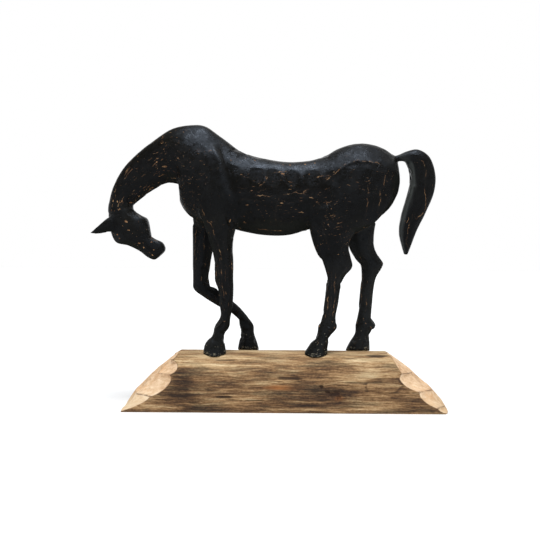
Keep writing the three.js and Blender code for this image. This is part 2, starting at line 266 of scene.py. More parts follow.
class Grid:
    def __init__(self, lo, hi, cell, band):
        self.lo = np.array(lo, float)
        self.cell = cell
        self.band = band
        self.shape = tuple(int(math.ceil((h - l) / cell)) + 1 for l, h in zip(lo, hi))
        self.xf = openvdb.createLinearTransform(voxelSize=cell)

    def distance(self, pts, tris):
        """Signed distance to a closed body, in mm, clamped to the band."""
        p = (pts - self.lo).astype(np.float32)
        g = openvdb.FloatGrid.createLevelSetFromPolygons(
            p, triangles=tris, transform=self.xf, halfWidth=self.band / self.cell + 1)
        a = np.empty(self.shape, np.float32)
        g.copyToArray(a)
        return np.clip(a, -self.band, self.band)

    def surface(self, field):
        g = openvdb.FloatGrid()
        g.background = float(self.band)
        g.transform = self.xf
        g.copyFromArray(field.astype(np.float32))
        pts, quads = g.convertToQuads(isovalue=0.0)
        return pts.astype(float) + self.lo, quads.astype(int)

    def sample(self, field, pts):
        q = (pts - self.lo) / self.cell
        i = np.clip(np.floor(q).astype(int), 0, np.array(self.shape) - 2)
        f = np.clip(q - i, 0, 1)
        out = 0
        for dx in (0, 1):
            for dy in (0, 1):
                for dz in (0, 1):
                    w = (f[:, 0] if dx else 1 - f[:, 0]) * (f[:, 1] if dy else 1 - f[:, 1]) * (f[:, 2] if dz else 1 - f[:, 2])
                    out = out + w * field[i[:, 0] + dx, i[:, 1] + dy, i[:, 2] + dz]
        return out


def blend_min(a, b, k):
    h = np.maximum(k - np.abs(a - b), 0) / k
    return np.minimum(a, b) - h * h * k * 0.25


def blend_max(a, b, k):
    return -blend_min(-a, -b, k)


# ------------------------------------------------------------------ small tools

def smoothstep(a, b, x):
    t = np.clip((x - a) / (b - a), 0, 1)
    return t * t * (3 - 2 * t)


def hash3(i, j, k, seed):
    h = (i.astype(np.int64) * 374761393 + j.astype(np.int64) * 668265263 + k.astype(np.int64) * 2147483647 + seed * 974634777) & 0xFFFFFFFF
    h = ((h ^ (h >> 13)) * 1274126177) & 0xFFFFFFFF
    h = ((h ^ (h >> 16)) * 2246822519) & 0xFFFFFFFF
    return (h & 0xFFFFFF) / float(0xFFFFFF)


def noise(p, seed=0):
    """Smooth value noise from -1 to 1."""
    f = np.floor(p).astype(np.int64)
    t = p - f
    t = t * t * (3 - 2 * t)
    out = 0
    for dx in (0, 1):
        for dy in (0, 1):
            for dz in (0, 1):
                w = ((t[:, 0] if dx else 1 - t[:, 0]) * (t[:, 1] if dy else 1 - t[:, 1]) * (t[:, 2] if dz else 1 - t[:, 2]))
                out = out + w * hash3(f[:, 0] + dx, f[:, 1] + dy, f[:, 2] + dz, seed)
    return out * 2 - 1


def fractal(p, octaves=3, seed=0):
    out, amp, tot = 0, 1.0, 0.0
    for o in range(octaves):
        out = out + amp * noise(p * 2 ** o, seed + o * 17)
        tot += amp
        amp *= 0.5
    return out / tot


class Skin:
    """A quad mesh with its neighbours, for smoothing and normals."""

    def __init__(self, pts, quads):
        self.p = pts
        self.q = quads
        e = np.vstack([quads[:, [0, 1]], quads[:, [1, 2]], quads[:, [2, 3]], quads[:, [3, 0]]])
        e = np.unique(np.sort(e, 1), axis=0)
        self.e = e
        self.deg = np.bincount(e.ravel(), minlength=len(pts)).astype(float)

    def average(self, x):
        out = np.zeros_like(x)
        for c in range(x.shape[1]):
            out[:, c] = (np.bincount(self.e[:, 0], x[self.e[:, 1], c], len(x)) + np.bincount(self.e[:, 1], x[self.e[:, 0], c], len(x)))
        return out / np.maximum(self.deg, 1)[:, None]

    def smooth(self, rounds, up=0.55, down=-0.57):
        for _ in range(rounds):
            self.p = self.p + up * (self.average(self.p) - self.p)
            self.p = self.p + down * (self.average(self.p) - self.p)

    def normals(self):
        a, b, c, d = (self.p[self.q[:, k]] for k in range(4))
        n = np.cross(c - a, d - b)
        out = np.zeros_like(self.p)
        for k in range(4):
            for x in range(3):
                out[:, x] += np.bincount(self.q[:, k], n[:, x], len(self.p))
        return out / np.maximum(np.linalg.norm(out, axis=1), 1e-9)[:, None]

    def bulge(self):
        """How far each point stands out from its neighbours, in mm per cell."""
        n = self.normals()
        return np.einsum("ij,ij->i", n, self.p - self.average(self.p))


def build_object(name, skin, attributes, material):
    me = bpy.data.meshes.new(name)
    me.from_pydata([], [], [])
    me.vertices.add(len(skin.p))
    me.vertices.foreach_set("co", (skin.p * MM).astype(np.float32).ravel())
    me.loops.add(len(skin.q) * 4)
    me.loops.foreach_set("vertex_index", skin.q.astype(np.int32).ravel())
    me.polygons.add(len(skin.q))
    me.polygons.foreach_set("loop_start", np.arange(0, len(skin.q) * 4, 4, dtype=np.int32))
    me.polygons.foreach_set("loop_total", np.full(len(skin.q), 4, dtype=np.int32))
    me.update(calc_edges=True)
    me.validate()
    me.polygons.foreach_set("use_smooth", np.ones(len(me.polygons), dtype=bool))
    for key, val in attributes.items():
        if val.ndim == 1:
            at = me.attributes.new(key, "FLOAT", "POINT")
            at.data.foreach_set("value", val.astype(np.float32))
        else:
            at = me.attributes.new(key, "FLOAT_VECTOR", "POINT")
            at.data.foreach_set("vector", val.astype(np.float32).ravel())
    me.materials.append(material)
    ob = bpy.data.objects.new(name, me)
    bpy.context.scene.collection.objects.link(ob)
    return ob


# ---------------------------------------------------------------------- the log

def log_half_width(z):
    t = np.clip(z / LOG_HEIGHT, 0, 1)
    return LOG_HALF_WIDTH * np.maximum(1 - t ** LOG_ROUNDNESS, 0) ** (1 / LOG_ROUNDNESS)


def hewn_base(side, y, z):
    """Where the hewn end lies along x: falling back with height, and towards the log's sides."""
    high = np.clip(z / LOG_HEIGHT, 0, 1)
    across = np.minimum(np.abs(y) / np.maximum(log_half_width(z), 12), 1.25)
    back = HEWN_ROUND * np.sin(np.pi * high ** 0.7) * across ** 3
    return side * (LOG_LENGTH / 2 - HEWN_RUN[side] * high ** HEWN_BOW[side] - back)


# Scoops along each long edge of the ends: the heights of the creases between them, how far
# each crease stands out beyond the base surface there, and how deep each scoop bites.
SCOOPS = {-1: ((0, 20.3, 49, 69, 90), (8, 4, -1, 3.5, -1), (3.0, 7.4, 9.0, 3.0)),
          1: ((0, 6.5, 28.5, 52, 90), (0, 4, 11, 3.5, 1), (3.0, 4.5, 10.0, 1.5))}


def scoop(side, y, z):
    """How far the edge scoops cut back from the base surface, and how near a crease each place is, in mm."""
    creases, stand, bite = SCOOPS[side]
    across = np.clip(np.abs(y) / np.maximum(log_half_width(z), 12), 0, 1)
    e = smoothstep(0.25, 0.95, across)
    zz = np.where(y < 0, z, 0.95 * z + 4.5) - 6.0 * (1 - across) + 1.2 * np.sin(y / 7.0)
    zz = np.clip(zz, 0, 89.9)
    k = np.clip(np.searchsorted(creases, zz, side="right") - 1, 0, len(bite) - 1)
    lo, hi = np.take(creases, k), np.take(creases, k + 1)
    t = (zz - lo) / (hi - lo) * 2 - 1
    arc = np.take(bite, k) * (1 - np.abs(t) ** 2.6)
    cut = -np.interp(zz, creases, stand) * e + arc * (0.16 + 0.84 * e)
    return cut, np.minimum(zz - lo + 99 * (k == 0), hi - zz), k, e


def hewn_end(side, y, z):
    return hewn_base(side, y, z) - side * scoop(side, y, z)[0]


def log_round(y, z):
    """Distance to the half-round section, without its flat underside."""
    n = LOG_ROUNDNESS
    a, b = np.abs(y) / LOG_HALF_WIDTH, np.abs(z) / LOG_HEIGHT
    g = np.maximum(a ** n + b ** n, 1e-9) ** (1 / n)
    gy = (a / g) ** (n - 1) / LOG_HALF_WIDTH
    gz = (b / g) ** (n - 1) / LOG_HEIGHT
    return (g - 1) / np.maximum(np.hypot(gy, gz), 1e-6)


def gouge(side, y, z, long, wide, depth, turn):
    """One gouge cut on a hewn end, as a bowl: its centre, axes and sizes."""
    e = 1.0
    f = lambda yy, zz: float(hewn_base(side, np.array([yy]), np.array([zz]))[0])
    at = np.array([f(y, z), y, z])
    ty = np.array([f(y + e, z) - f(y - e, z), 2 * e, 0])
    tz = np.array([f(y, z + e) - f(y, z - e), 0, 2 * e])
    n = np.cross(ty, tz)
    n /= np.linalg.norm(n)
    if n[0] * side < 0:
        n = -n
    ty /= np.linalg.norm(ty)
    tz = np.cross(n, ty)
    if tz[2] < 0:
        tz = -tz
    a = math.radians(turn)
    u = math.cos(a) * ty + math.sin(a) * tz
    v = -math.sin(a) * ty + math.cos(a) * tz
    return at, n, u, v, long, wide, depth


# The hewn ends: rows of gouge cuts on each end, as (height, offsets across).
GOUGE_ROWS = {
    -1: ((14.0, (-0.40, 0.25)), (33.0, (-0.46, 0.05, 0.36)), (54.0, (-0.48, 0.22)), (72.0, (-0.50, 0.30))),
    1: ((17.0, (-0.42, 0.22)), (41.0, (-0.48, 0.0, 0.34)), (61.0, (-0.46, 0.26)), (75.0, (-0.46, 0.30))),
}


def log_gouges():
    rng = np.random.default_rng(5)
    cuts = []
    for side in (-1, 1):
        for row, (z, spots) in enumerate(GOUGE_ROWS[side]):
            half = float(log_half_width(np.array([z]))[0])
            for f in spots:
                j = rng.uniform(-1, 1, 5)
                top = row == 3
                cuts.append(gouge(side, f * half + 1.5 * j[0], z + 1.5 * j[1], (16 if top else 17) + 1.5 * j[2], (9 if top else 14.0) + j[3],
                                  1.6 if top else 3.4, 12 * side * np.sign(f) + 9 * j[4]))
    return cuts


def make_log(material):
    lo, hi = (-228, -66, -6), (228, 66, 84)
    G = Grid(lo, hi, 1.5, 9)
    ax = [np.arange(n) * G.cell + l for n, l in zip(G.shape, lo)]
    X, Y, Z = np.meshgrid(*ax, indexing="ij")
    round_ = log_round(Y, np.maximum(Z, 0))
    field = np.maximum(round_, -Z)
    for side in (-1, 1):
        end = (side * X - side * hewn_end(side, Y, Z)) * 0.62
        field = blend_max(field, end, 0.8)
    for at, n, u, v, long, wide, depth in log_gouges():
        near = (np.abs(X - at[0]) < 36) & (np.abs(Y - at[1]) < 36) & (np.abs(Z - at[2]) < 32)
        d = np.stack([X[near] - at[0], Y[near] - at[1], Z[near] - at[2]], -1)
        h = d @ n
        rho2 = (d @ u / long) ** 2 + (d @ v / wide) ** 2
        bowl = (h + depth * (1 - rho2)) / np.sqrt(1 + 4 * depth ** 2 * rho2 / (long * wide))
        field[near] = np.maximum(field[near], np.where(rho2 < 1.6, bowl, -9))
    pts, quads = G.surface(np.clip(field, -9, 9))
    skin = Skin(pts, quads)
    skin.smooth(1)
    p = skin.p
    rd = log_round(p[:, 1], np.maximum(p[:, 2], 0))
    under = smoothstep(1.2, 0.3, p[:, 2])
    hewn = smoothstep(-0.15, -1.1, rd) * (1 - under) * (np.abs(p[:, 0]) > 118)
    bark = (1 - smoothstep(0.0, 0.5, hewn)) * (1 - under)
    nrm = skin.normals()
    # which gouge cut each place of the ends belongs to, and how near the next one
    best, second, tone = np.full(len(p), 9.0), np.full(len(p), 9.0), np.zeros(len(p))
    shade = np.random.default_rng(8).uniform(-1, 1, 80)
    for k, (at, n, u, v, long, wide, depth) in enumerate(log_gouges()):
        d = p - at
        rho = np.where((np.abs(d) < 40).all(1), ((d @ u / long) ** 2 + (d @ v / wide) ** 2) * depth / 3.6 - depth / 3.6, 9.0)
        rho = np.maximum(rho, np.where(np.abs(d @ n) > 14, 9.0, -9))
        closer = rho < best
        second = np.where(closer, best, np.minimum(second, rho))
        tone = np.where(closer, shade[k], tone)
        best = np.where(closer, rho, best)
    # crease: where two gouge cuts meet; the material paints it as a thin dark line of shade
    crease = smoothstep(0.14, 0.02, second - best) * (best < 0.1) * hewn * 0.8
    for side in (-1, 1):
        _, gap, k, e = scoop(side, p[:, 1], p[:, 2])
        here = (p[:, 0] * side > 0) * hewn
        crease = np.maximum(crease, smoothstep(1.3, 0.2, gap) * smoothstep(0.05, 0.4, e) * here)
        tone = np.where((here > 0) & (e > 0.35) & (best > -0.2), shade[40 + k * 3 + (side > 0)], tone)
    # weathered grain: long shallow furrows, checks, a knot hollow
    ang = np.arctan2(p[:, 2] + 6, p[:, 1]) * 55
    g1 = fractal(np.c_[p[:, 0] / 55, ang / 6.0, ang * 0 + 3.7], 3, 11)
    g2 = fractal(np.c_[p[:, 0] / 22, ang / 2.6, ang * 0 + 8.1], 2, 23)
    broad = fractal(np.c_[p[:, 0] / 60, p[:, 1] / 30, p[:, 2] / 30], 2, 31)
    check = smoothstep(0.60, 0.78, noise(np.c_[p[:, 0] / 42, ang / 3.0, ang * 0 + 1.3], 41))
    relief = 0.42 * g1 + 0.26 * g2 + 0.5 * broad - 0.8 * check
    knot = np.zeros(len(p))
    front = p[:, 1] < -30
    for x, z, a, b, turn in ((65, 25.5, 9.5, 4.6, 20), (56.5, 28.5, 5, 2.4, -10), (70.5, 21, 4.0, 2.6, 30), (47.5, 35.5, 3.2, 2.2, 0)):
        c, s = math.cos(math.radians(turn)), math.sin(math.radians(turn))
        dx, dz = p[:, 0] - x, p[:, 2] - z
        wob = 0.25 * noise(np.c_[p[:, 0] / 4, p[:, 1] / 4, p[:, 2] / 3], 61)
        r = np.hypot((dx * c + dz * s) / a, (dz * c - dx * s) / b) + wob
        knot = np.maximum(knot, smoothstep(1.15, 0.55, r) * front)
    # a healed scar in the bark near the right end
    wob = 0.22 * noise(np.c_[p[:, 0] / 7, p[:, 1] / 7, p[:, 2] / 5], 71)
    scar = np.hypot((p[:, 0] - 132 - 0.5 * (p[:, 2] - 38)) / 25, (p[:, 2] - 38) / 10.5) + wob
    lip = np.exp(-((scar - 1) / 0.11) ** 2) * front * bark
    scar = smoothstep(1.1, 0.8, scar) * front * bark
    skin.p = p + nrm * (bark * (relief - 2.0 * knot) + 0.7 * scar - 0.5 * lip)[:, None]
    # the hewn cuts keep faint tool lines
    lines = fractal(np.c_[p[:, 0] / 9, p[:, 1] / 3.0, p[:, 2] / 3.0], 2, 51)
    skin.p = skin.p + nrm * (hewn * 0.12 * lines)[:, None]
    flat = p[:, 2] < 0.9
    skin.p[flat, 2] = 0.0
    skin.p[:, 2] = np.maximum(skin.p[:, 2], 0.0)
    skin.p[:, 0] = np.clip(skin.p[:, 0], -LOG_LENGTH / 2, LOG_LENGTH / 2)
    tint = np.zeros(len(p))          # darker and lighter places of the weathered face
    for x, z, a, b, h in ((-140, 40, 17, 20, -1.9), (-88, 38, 26, 9, -0.9), (-150, 20, 18, 6, -0.4), (112, 36, 22, 12, -0.25),
                          (52, 30, 40, 8, -0.35), (-40, 58, 60, 9, 0.35), (66, 55, 50, 8, 0.30), (120, 15, 30, 7, 0.25), (-60, 8, 60, 6, 0.25), (18, 22, 40, 6, -0.3), (22, 6.5, 34, 2.6, 0.9), (128, 7, 16, 3, 0.9), (-150, 7, 20, 3, 0.5)):
        tint += h * np.exp(-((p[:, 0] - x) / a) ** 2 - ((p[:, 2] - z) / b) ** 2) * front
        tint += 0.8 * h * np.exp(-((p[:, 0] + x - 9) / a) ** 2 - ((p[:, 2] - z + 4) / b) ** 2) * (p[:, 1] > 30)
    tint += 0.5 * scar - 0.7 * lip
    rust = np.exp(-((p[:, 0] + 13) / 17) ** 2 - ((p[:, 2] - 34.5) / 3.2) ** 2) * front
    rust += 0.7 * np.exp(-((p[:, 0] - 70) / 5) ** 2 - ((p[:, 2] - 21) / 3) ** 2) * front
    attrs = {"hewn": hewn, "check": check * bark, "under": under, "relief": relief * bark,
             "crease": crease, "cut": tone, "knot": knot, "tint": tint, "rust": rust}
    return build_object("log", skin, attrs, material), skin


# --------------------------------------------------------------------- the horse

CELL = 1.66
BAND = 12.0

# How near the upper bevel comes to the corner, station by station from the tail to the throat.
BACK_BEVEL = (1.40, 1.40, 1.42, 1.54, 1.50, 1.56, 1.70, 1.66, 1.58, 1.47, 1.43, 1.46,
              1.56, 1.60, 1.60, 1.58, 1.55, 1.55, 1.55)

MEMBERS = [
    # name, stations, section, how softly it grows out of what is already there
    ("trunk", TRUNK, dict(sides=84, square=2.2, low=0.10, bevel=1.50, crisp=13, upper=BACK_BEVEL, upper_square=4.0), 0),
    ("head", HEAD, dict(sides=56, square=3.0, low=0.06, bevel=1.56, crisp=14, upper=[1.42] * 9, upper_square=2.6), 5),
    ("near_ear", EAR, dict(sides=24, square=2.0), 2.5),
    ("far_ear", EAR, dict(sides=24, square=2.0, mirror=-1.0), 2.5),
    ("near_fore", NEAR_FORELEG, dict(sides=48, square=3.2, bevel=1.36, crisp=14), 8),
    ("far_fore", FAR_FORELEG, dict(sides=48, square=3.2, bevel=1.36, crisp=14), 8),
    ("near_hind", NEAR_HIND_LEG, dict(sides=48, square=3.2, bevel=1.36, crisp=14), 9),
    ("far_hind", FAR_HIND_LEG, dict(sides=48, square=3.2, bevel=1.36, crisp=14), 9),
    ("tail", TAIL, dict(sides=48, square=6.0, bevel=1.60, crisp=20, upper=[1.42] * 11, upper_square=3.0), 3),
]


def carve(G, field, cuts):
    """Set gouge cuts, each flat up and down its slope and dipping in a curve from end to end,
    measured down from the outermost point of the surface under it."""
    pts, _ = G.surface(field)
    ax = [np.arange(n) * G.cell + l for n, l in zip(G.shape, G.lo)]
    for ex, ey, ez, lo, wi, dep, slope in cuts:
        a = math.radians(slope)
        nk = np.array([0.0, math.copysign(math.cos(a), ey), math.sin(a)])
        bk = np.cross(nk, [1.0, 0, 0])
        ids = np.nonzero((np.abs(pts[:, 0] - ex) < 2.2) & (np.abs(pts[:, 2] - ez) < 13) & (pts[:, 1] * ey > 0))[0]
        c = pts[ids[(pts[ids] @ nk).argmax()]].copy()
        c += bk * ((ez - c[2]) / bk[2])
        i0, i1 = np.searchsorted(ax[0], (ex - 1.6 * lo, ex + 1.6 * lo))
        k0, k1 = np.searchsorted(ax[2], (ez - 22, ez + 22))
        X, Y, Z = np.meshgrid(ax[0][i0:i1] - c[0], ax[1] - c[1], ax[2][k0:k1] - c[2], indexing="ij")
        along, down = X / lo, (Y * bk[1] + Z * bk[2]) / wi
        bowl = Y * nk[1] + Z * nk[2] + dep * (1 - along ** 2) - 0.15 * down ** 2
        bowl = np.where(np.sign(ey) * (Y + c[1]) > 4, bowl / np.sqrt(1 + (2 * dep * along / lo) ** 2), -9)
        bowl -= 8 * np.maximum(np.abs(along) - 1.08, 0) + 5 * np.maximum(np.abs(down) - 1.35, 0)
        part = field[i0:i1, :, k0:k1]
        np.maximum(part, bowl.astype(np.float32), out=part)
    return field


def make_horse(material, cuts=()):
    G = Grid((-283, -47, 64), (217, 47, 401), CELL, BAND)
    field = None
    label = np.zeros(G.shape, np.uint8)
    best = np.full(G.shape, 1e3, np.float32)
    axes = []
    for i, (name, st, kw, k) in enumerate(MEMBERS):
        pts, tris, axis = loft(st, **kw)
        d = G.distance(pts, tris)
        axes.append(axis)
        closer = d < best
        label[closer] = i
        best[closer] = d[closer]
        field = d if field is None else blend_min(field, d, k)
    if len(cuts):
        field = carve(G, field, cuts)
    # the soles follow the round of the log
    ax = [np.arange(n) * CELL + l for n, l in zip(G.shape, G.lo)]
    Y, Z = np.meshgrid(ax[1], ax[2], indexing="ij")
    log = log_round(Y, Z) - SOLE_GAP
    field = np.maximum(field, -log[None].astype(np.float32))
    pts, quads = G.surface(field)
    skin = Skin(pts, quads)
    skin.smooth(2)
    q = np.round((skin.p - G.lo) / CELL).astype(int)
    q = np.clip(q, 0, np.array(G.shape) - 1)
    lab = label[q[:, 0], q[:, 1], q[:, 2]]
    return G, field, skin, lab, axes
# ------------------------------------------------------- carved facets of the horse

def member_frames(skin, lab, axes):
    """For every point: the direction of its member and its place along, across and beside it."""
    n = len(skin.p)
    tan = np.zeros((n, 3))
    loc = np.zeros((n, 3))
    for i, axis in enumerate(axes):
        sel = np.nonzero(lab == i)[0]
        if not len(sel):
            continue
        t = np.gradient(axis, axis=0)
        t[:, 1] = 0
        t /= np.maximum(np.linalg.norm(t, axis=1), 1e-9)[:, None]
        s = np.r_[0, np.cumsum(np.linalg.norm(np.diff(axis, axis=0), axis=1))]
        P = skin.p[sel][:, None, [0, 2]] - axis[None][:, :, [0, 2]]
        near = (P ** 2).sum(-1).argmin(1)
        tan[sel] = t[near]
        d = skin.p[sel] - axis[near]
        side = np.stack([-t[near][:, 2], 0 * near, t[near][:, 0]], -1)
        a = (d * t[near]).sum(1)
        loc[sel] = np.stack([s[near] + a + 300 * i, d[:, 1] * 1.0, (d * side).sum(1)], -1)
    for _ in range(12):
        tan = skin.average(tan)
    tan /= np.maximum(np.linalg.norm(tan, axis=1), 1e-9)[:, None]
    return tan, loc


def region(p, lab):
    """Facet length and width in mm, depth, and how much they run across the member, at each point."""
    n = len(p)
    long, wide, depth = np.full(n, 15.0), np.full(n, 10.0), np.full(n, 0.50)
    across = np.zeros(n)
    x, z = p[:, 0], p[:, 2]
    crest = (lab == 0) & (x > -150) & (x < 150) & (z > 330)
    long[crest], wide[crest], depth[crest] = 17, 12, 0.30
    neck = (lab == 0) & (x < -150)
    long[neck], wide[neck], depth[neck] = 16, 7.5, 0.36
    barrel = (lab == 0) & (x >= -90) & (x < 60) & (z < 300)
    long[barrel], wide[barrel], depth[barrel] = 16, 10, 0.50
    rump = (lab == 0) & (x >= 75)
    long[rump], wide[rump], depth[rump] = 14, 9, 0.42
    for i in (4, 5, 6, 7):
        leg = lab == i
        low = leg & (z < 235)
        long[low], wide[low], depth[low] = 18, 6.0, 0.28
        hoof = leg & (z < 108)
        long[hoof], wide[hoof], depth[hoof] = 9, 6.5, 0.10
    thigh = ((lab == 6) | (lab == 7)) & (z >= 205)
    across[thigh] = 1
    long[thigh], wide[thigh], depth[thigh] = 13, 7.5, 0.32
    head = (lab == 1) | (lab == 2) | (lab == 3)
    long[head], wide[head], depth[head] = 10, 7.5, 0.13
    tail = lab == 8
    long[tail], wide[tail], depth[tail] = 16, 7, 0.32
    return long, wide, depth, across


def facets(skin, lab, tan, calm):
    """Tool cuts: shallow bowls at scattered centres, each cut along its own direction.
    calm: how far the cuts are left out, point by point.
    Returns how deep each point is cut, in which direction, and the smooth normals."""
    rng = np.random.default_rng(11)
    n = skin.normals()
    for _ in range(3):
        n = skin.average(n)
    n /= np.maximum(np.linalg.norm(n, axis=1), 1e-9)[:, None]
    long, wide, depth, across = region(skin.p, lab)
    t = tan - n * np.einsum("ij,ij->i", tan, n)[:, None]
    t /= np.maximum(np.linalg.norm(t, axis=1), 1e-6)[:, None]
    b = np.cross(n, t)
    swap = across > 0.5
    t[swap], b[swap] = b[swap], t[swap].copy()
    turn = rng.normal(0, 0.28, len(t))[:, None]
    t, b = t * np.cos(turn) + b * np.sin(turn), b * np.cos(turn) - t * np.sin(turn)
    vary = rng.uniform(0.70, 1.30, len(t))
    order = rng.permutation(len(skin.p))[:30000]
    keep, cells, size = [], {}, 20.0
    for i in order:
        c = tuple((skin.p[i] // size).astype(int))
        close = [j for dx in (-1, 0, 1) for dy in (-1, 0, 1) for dz in (-1, 0, 1) for j in cells.get((c[0] + dx, c[1] + dy, c[2] + dz), ())]
        if close:
            j = np.array(close)
            d = skin.p[i] - skin.p[j]
            lo, wi = long[j] * vary[j], wide[j] * vary[j]
            r = ((d * t[j]).sum(1) / lo) ** 2 + ((d * b[j]).sum(1) / wi) ** 2 + ((d * n[j]).sum(1) / wi) ** 2
            if r.min() < 1.0:
                continue
        keep.append(int(i))
        cells.setdefault(c, []).append(int(i))
    depth_k = depth[keep] * rng.uniform(0.45, 1.25, len(keep))
    cell = {}
    for i, c in enumerate(map(tuple, (skin.p // 10.0).astype(int))):
        cell.setdefault(c, []).append(i)
    cell = {c: np.array(v) for c, v in cell.items()}
    cut = np.zeros(len(skin.p))
    way = n.copy()
    for k, i in enumerate(keep):
        c, nk, tk, bk = skin.p[i], n[i], t[i], b[i]
        lo, wi, dep = long[i] * vary[i] * 0.78, wide[i] * vary[i] * 0.78, depth_k[k]
        q = (c // 10.0).astype(int)
        reach = 2 if max(lo, wi) > 9 else 1
        ids = [cell[g] for dx in range(-reach, reach + 1) for dy in range(-reach, reach + 1) for dz in range(-reach, reach + 1)
               if (g := (q[0] + dx, q[1] + dy, q[2] + dz)) in cell]
        ids = np.concatenate(ids)
        d = skin.p[ids] - c
        rho2 = (d @ tk / lo) ** 2 + (d @ bk / wi) ** 2
        ok = (rho2 < 2.0) & (n[ids] @ nk > 0.6)
        deep = (d @ nk) + dep * (1 - rho2)
        ok &= deep > cut[ids]
        cut[ids[ok]] = deep[ok]
        way[ids[ok]] = nk
    return np.minimum(cut, 2.0) * (1 - calm), way, n, rng


def seam(p, paths):
    """Signed distance in the side view to the nearest of several lines, and how far inside its ends it lies."""
    best, sign, inside = np.full(len(p), 1e9), np.ones(len(p)), np.zeros(len(p))
    for path in paths:
        run, total = 0.0, sum(math.dist(a, b) for a, b in zip(path[:-1], path[1:]))
        for (x0, z0), (x1, z1) in zip(path[:-1], path[1:]):
            dx, dz = x1 - x0, z1 - z0
            L = math.hypot(dx, dz)
            px, pz = p[:, 0] - x0, p[:, 2] - z0
            u = np.clip((px * dx + pz * dz) / L ** 2, 0, 1)
            d = np.hypot(px - u * dx, pz - u * dz)
            closer = d < best
            best[closer] = d[closer]
            sign[closer] = np.where(px * dz - pz * dx > 0, 1.0, -1.0)[closer]
            at = run + u * L
            inside[closer] = np.minimum(at, total - at)[closer]
            run += L
    return sign * np.minimum(best, 9.0), inside


def line_distance(p, path):
    """Distance in the side view from each point to a polyline of (x, z) pairs, and the place along it."""
    best = np.full(len(p), 1e9)
    at = np.zeros(len(p))
    total = sum(math.dist(a, b) for a, b in zip(path[:-1], path[1:]))
    run = 0.0
    for (x0, z0), (x1, z1) in zip(path[:-1], path[1:]):
        dx, dz = x1 - x0, z1 - z0
        L = math.hypot(dx, dz)
        u = np.clip(((p[:, 0] - x0) * dx + (p[:, 2] - z0) * dz) / L ** 2, 0, 1)
        d = np.hypot(p[:, 0] - x0 - u * dx, p[:, 2] - z0 - u * dz)
        at = np.where(d < best, (run + u * L) / total, at)
        best = np.minimum(best, d)
        run += L
    return best, at




# --------------------------------------------------------------------- materials

def srgb(r, g, b):
    f = lambda c: (c / 255 / 12.92) if c / 255 <= 0.04045 else ((c / 255 + 0.055) / 1.055) ** 2.4
    return (f(r), f(g), f(b), 1.0)


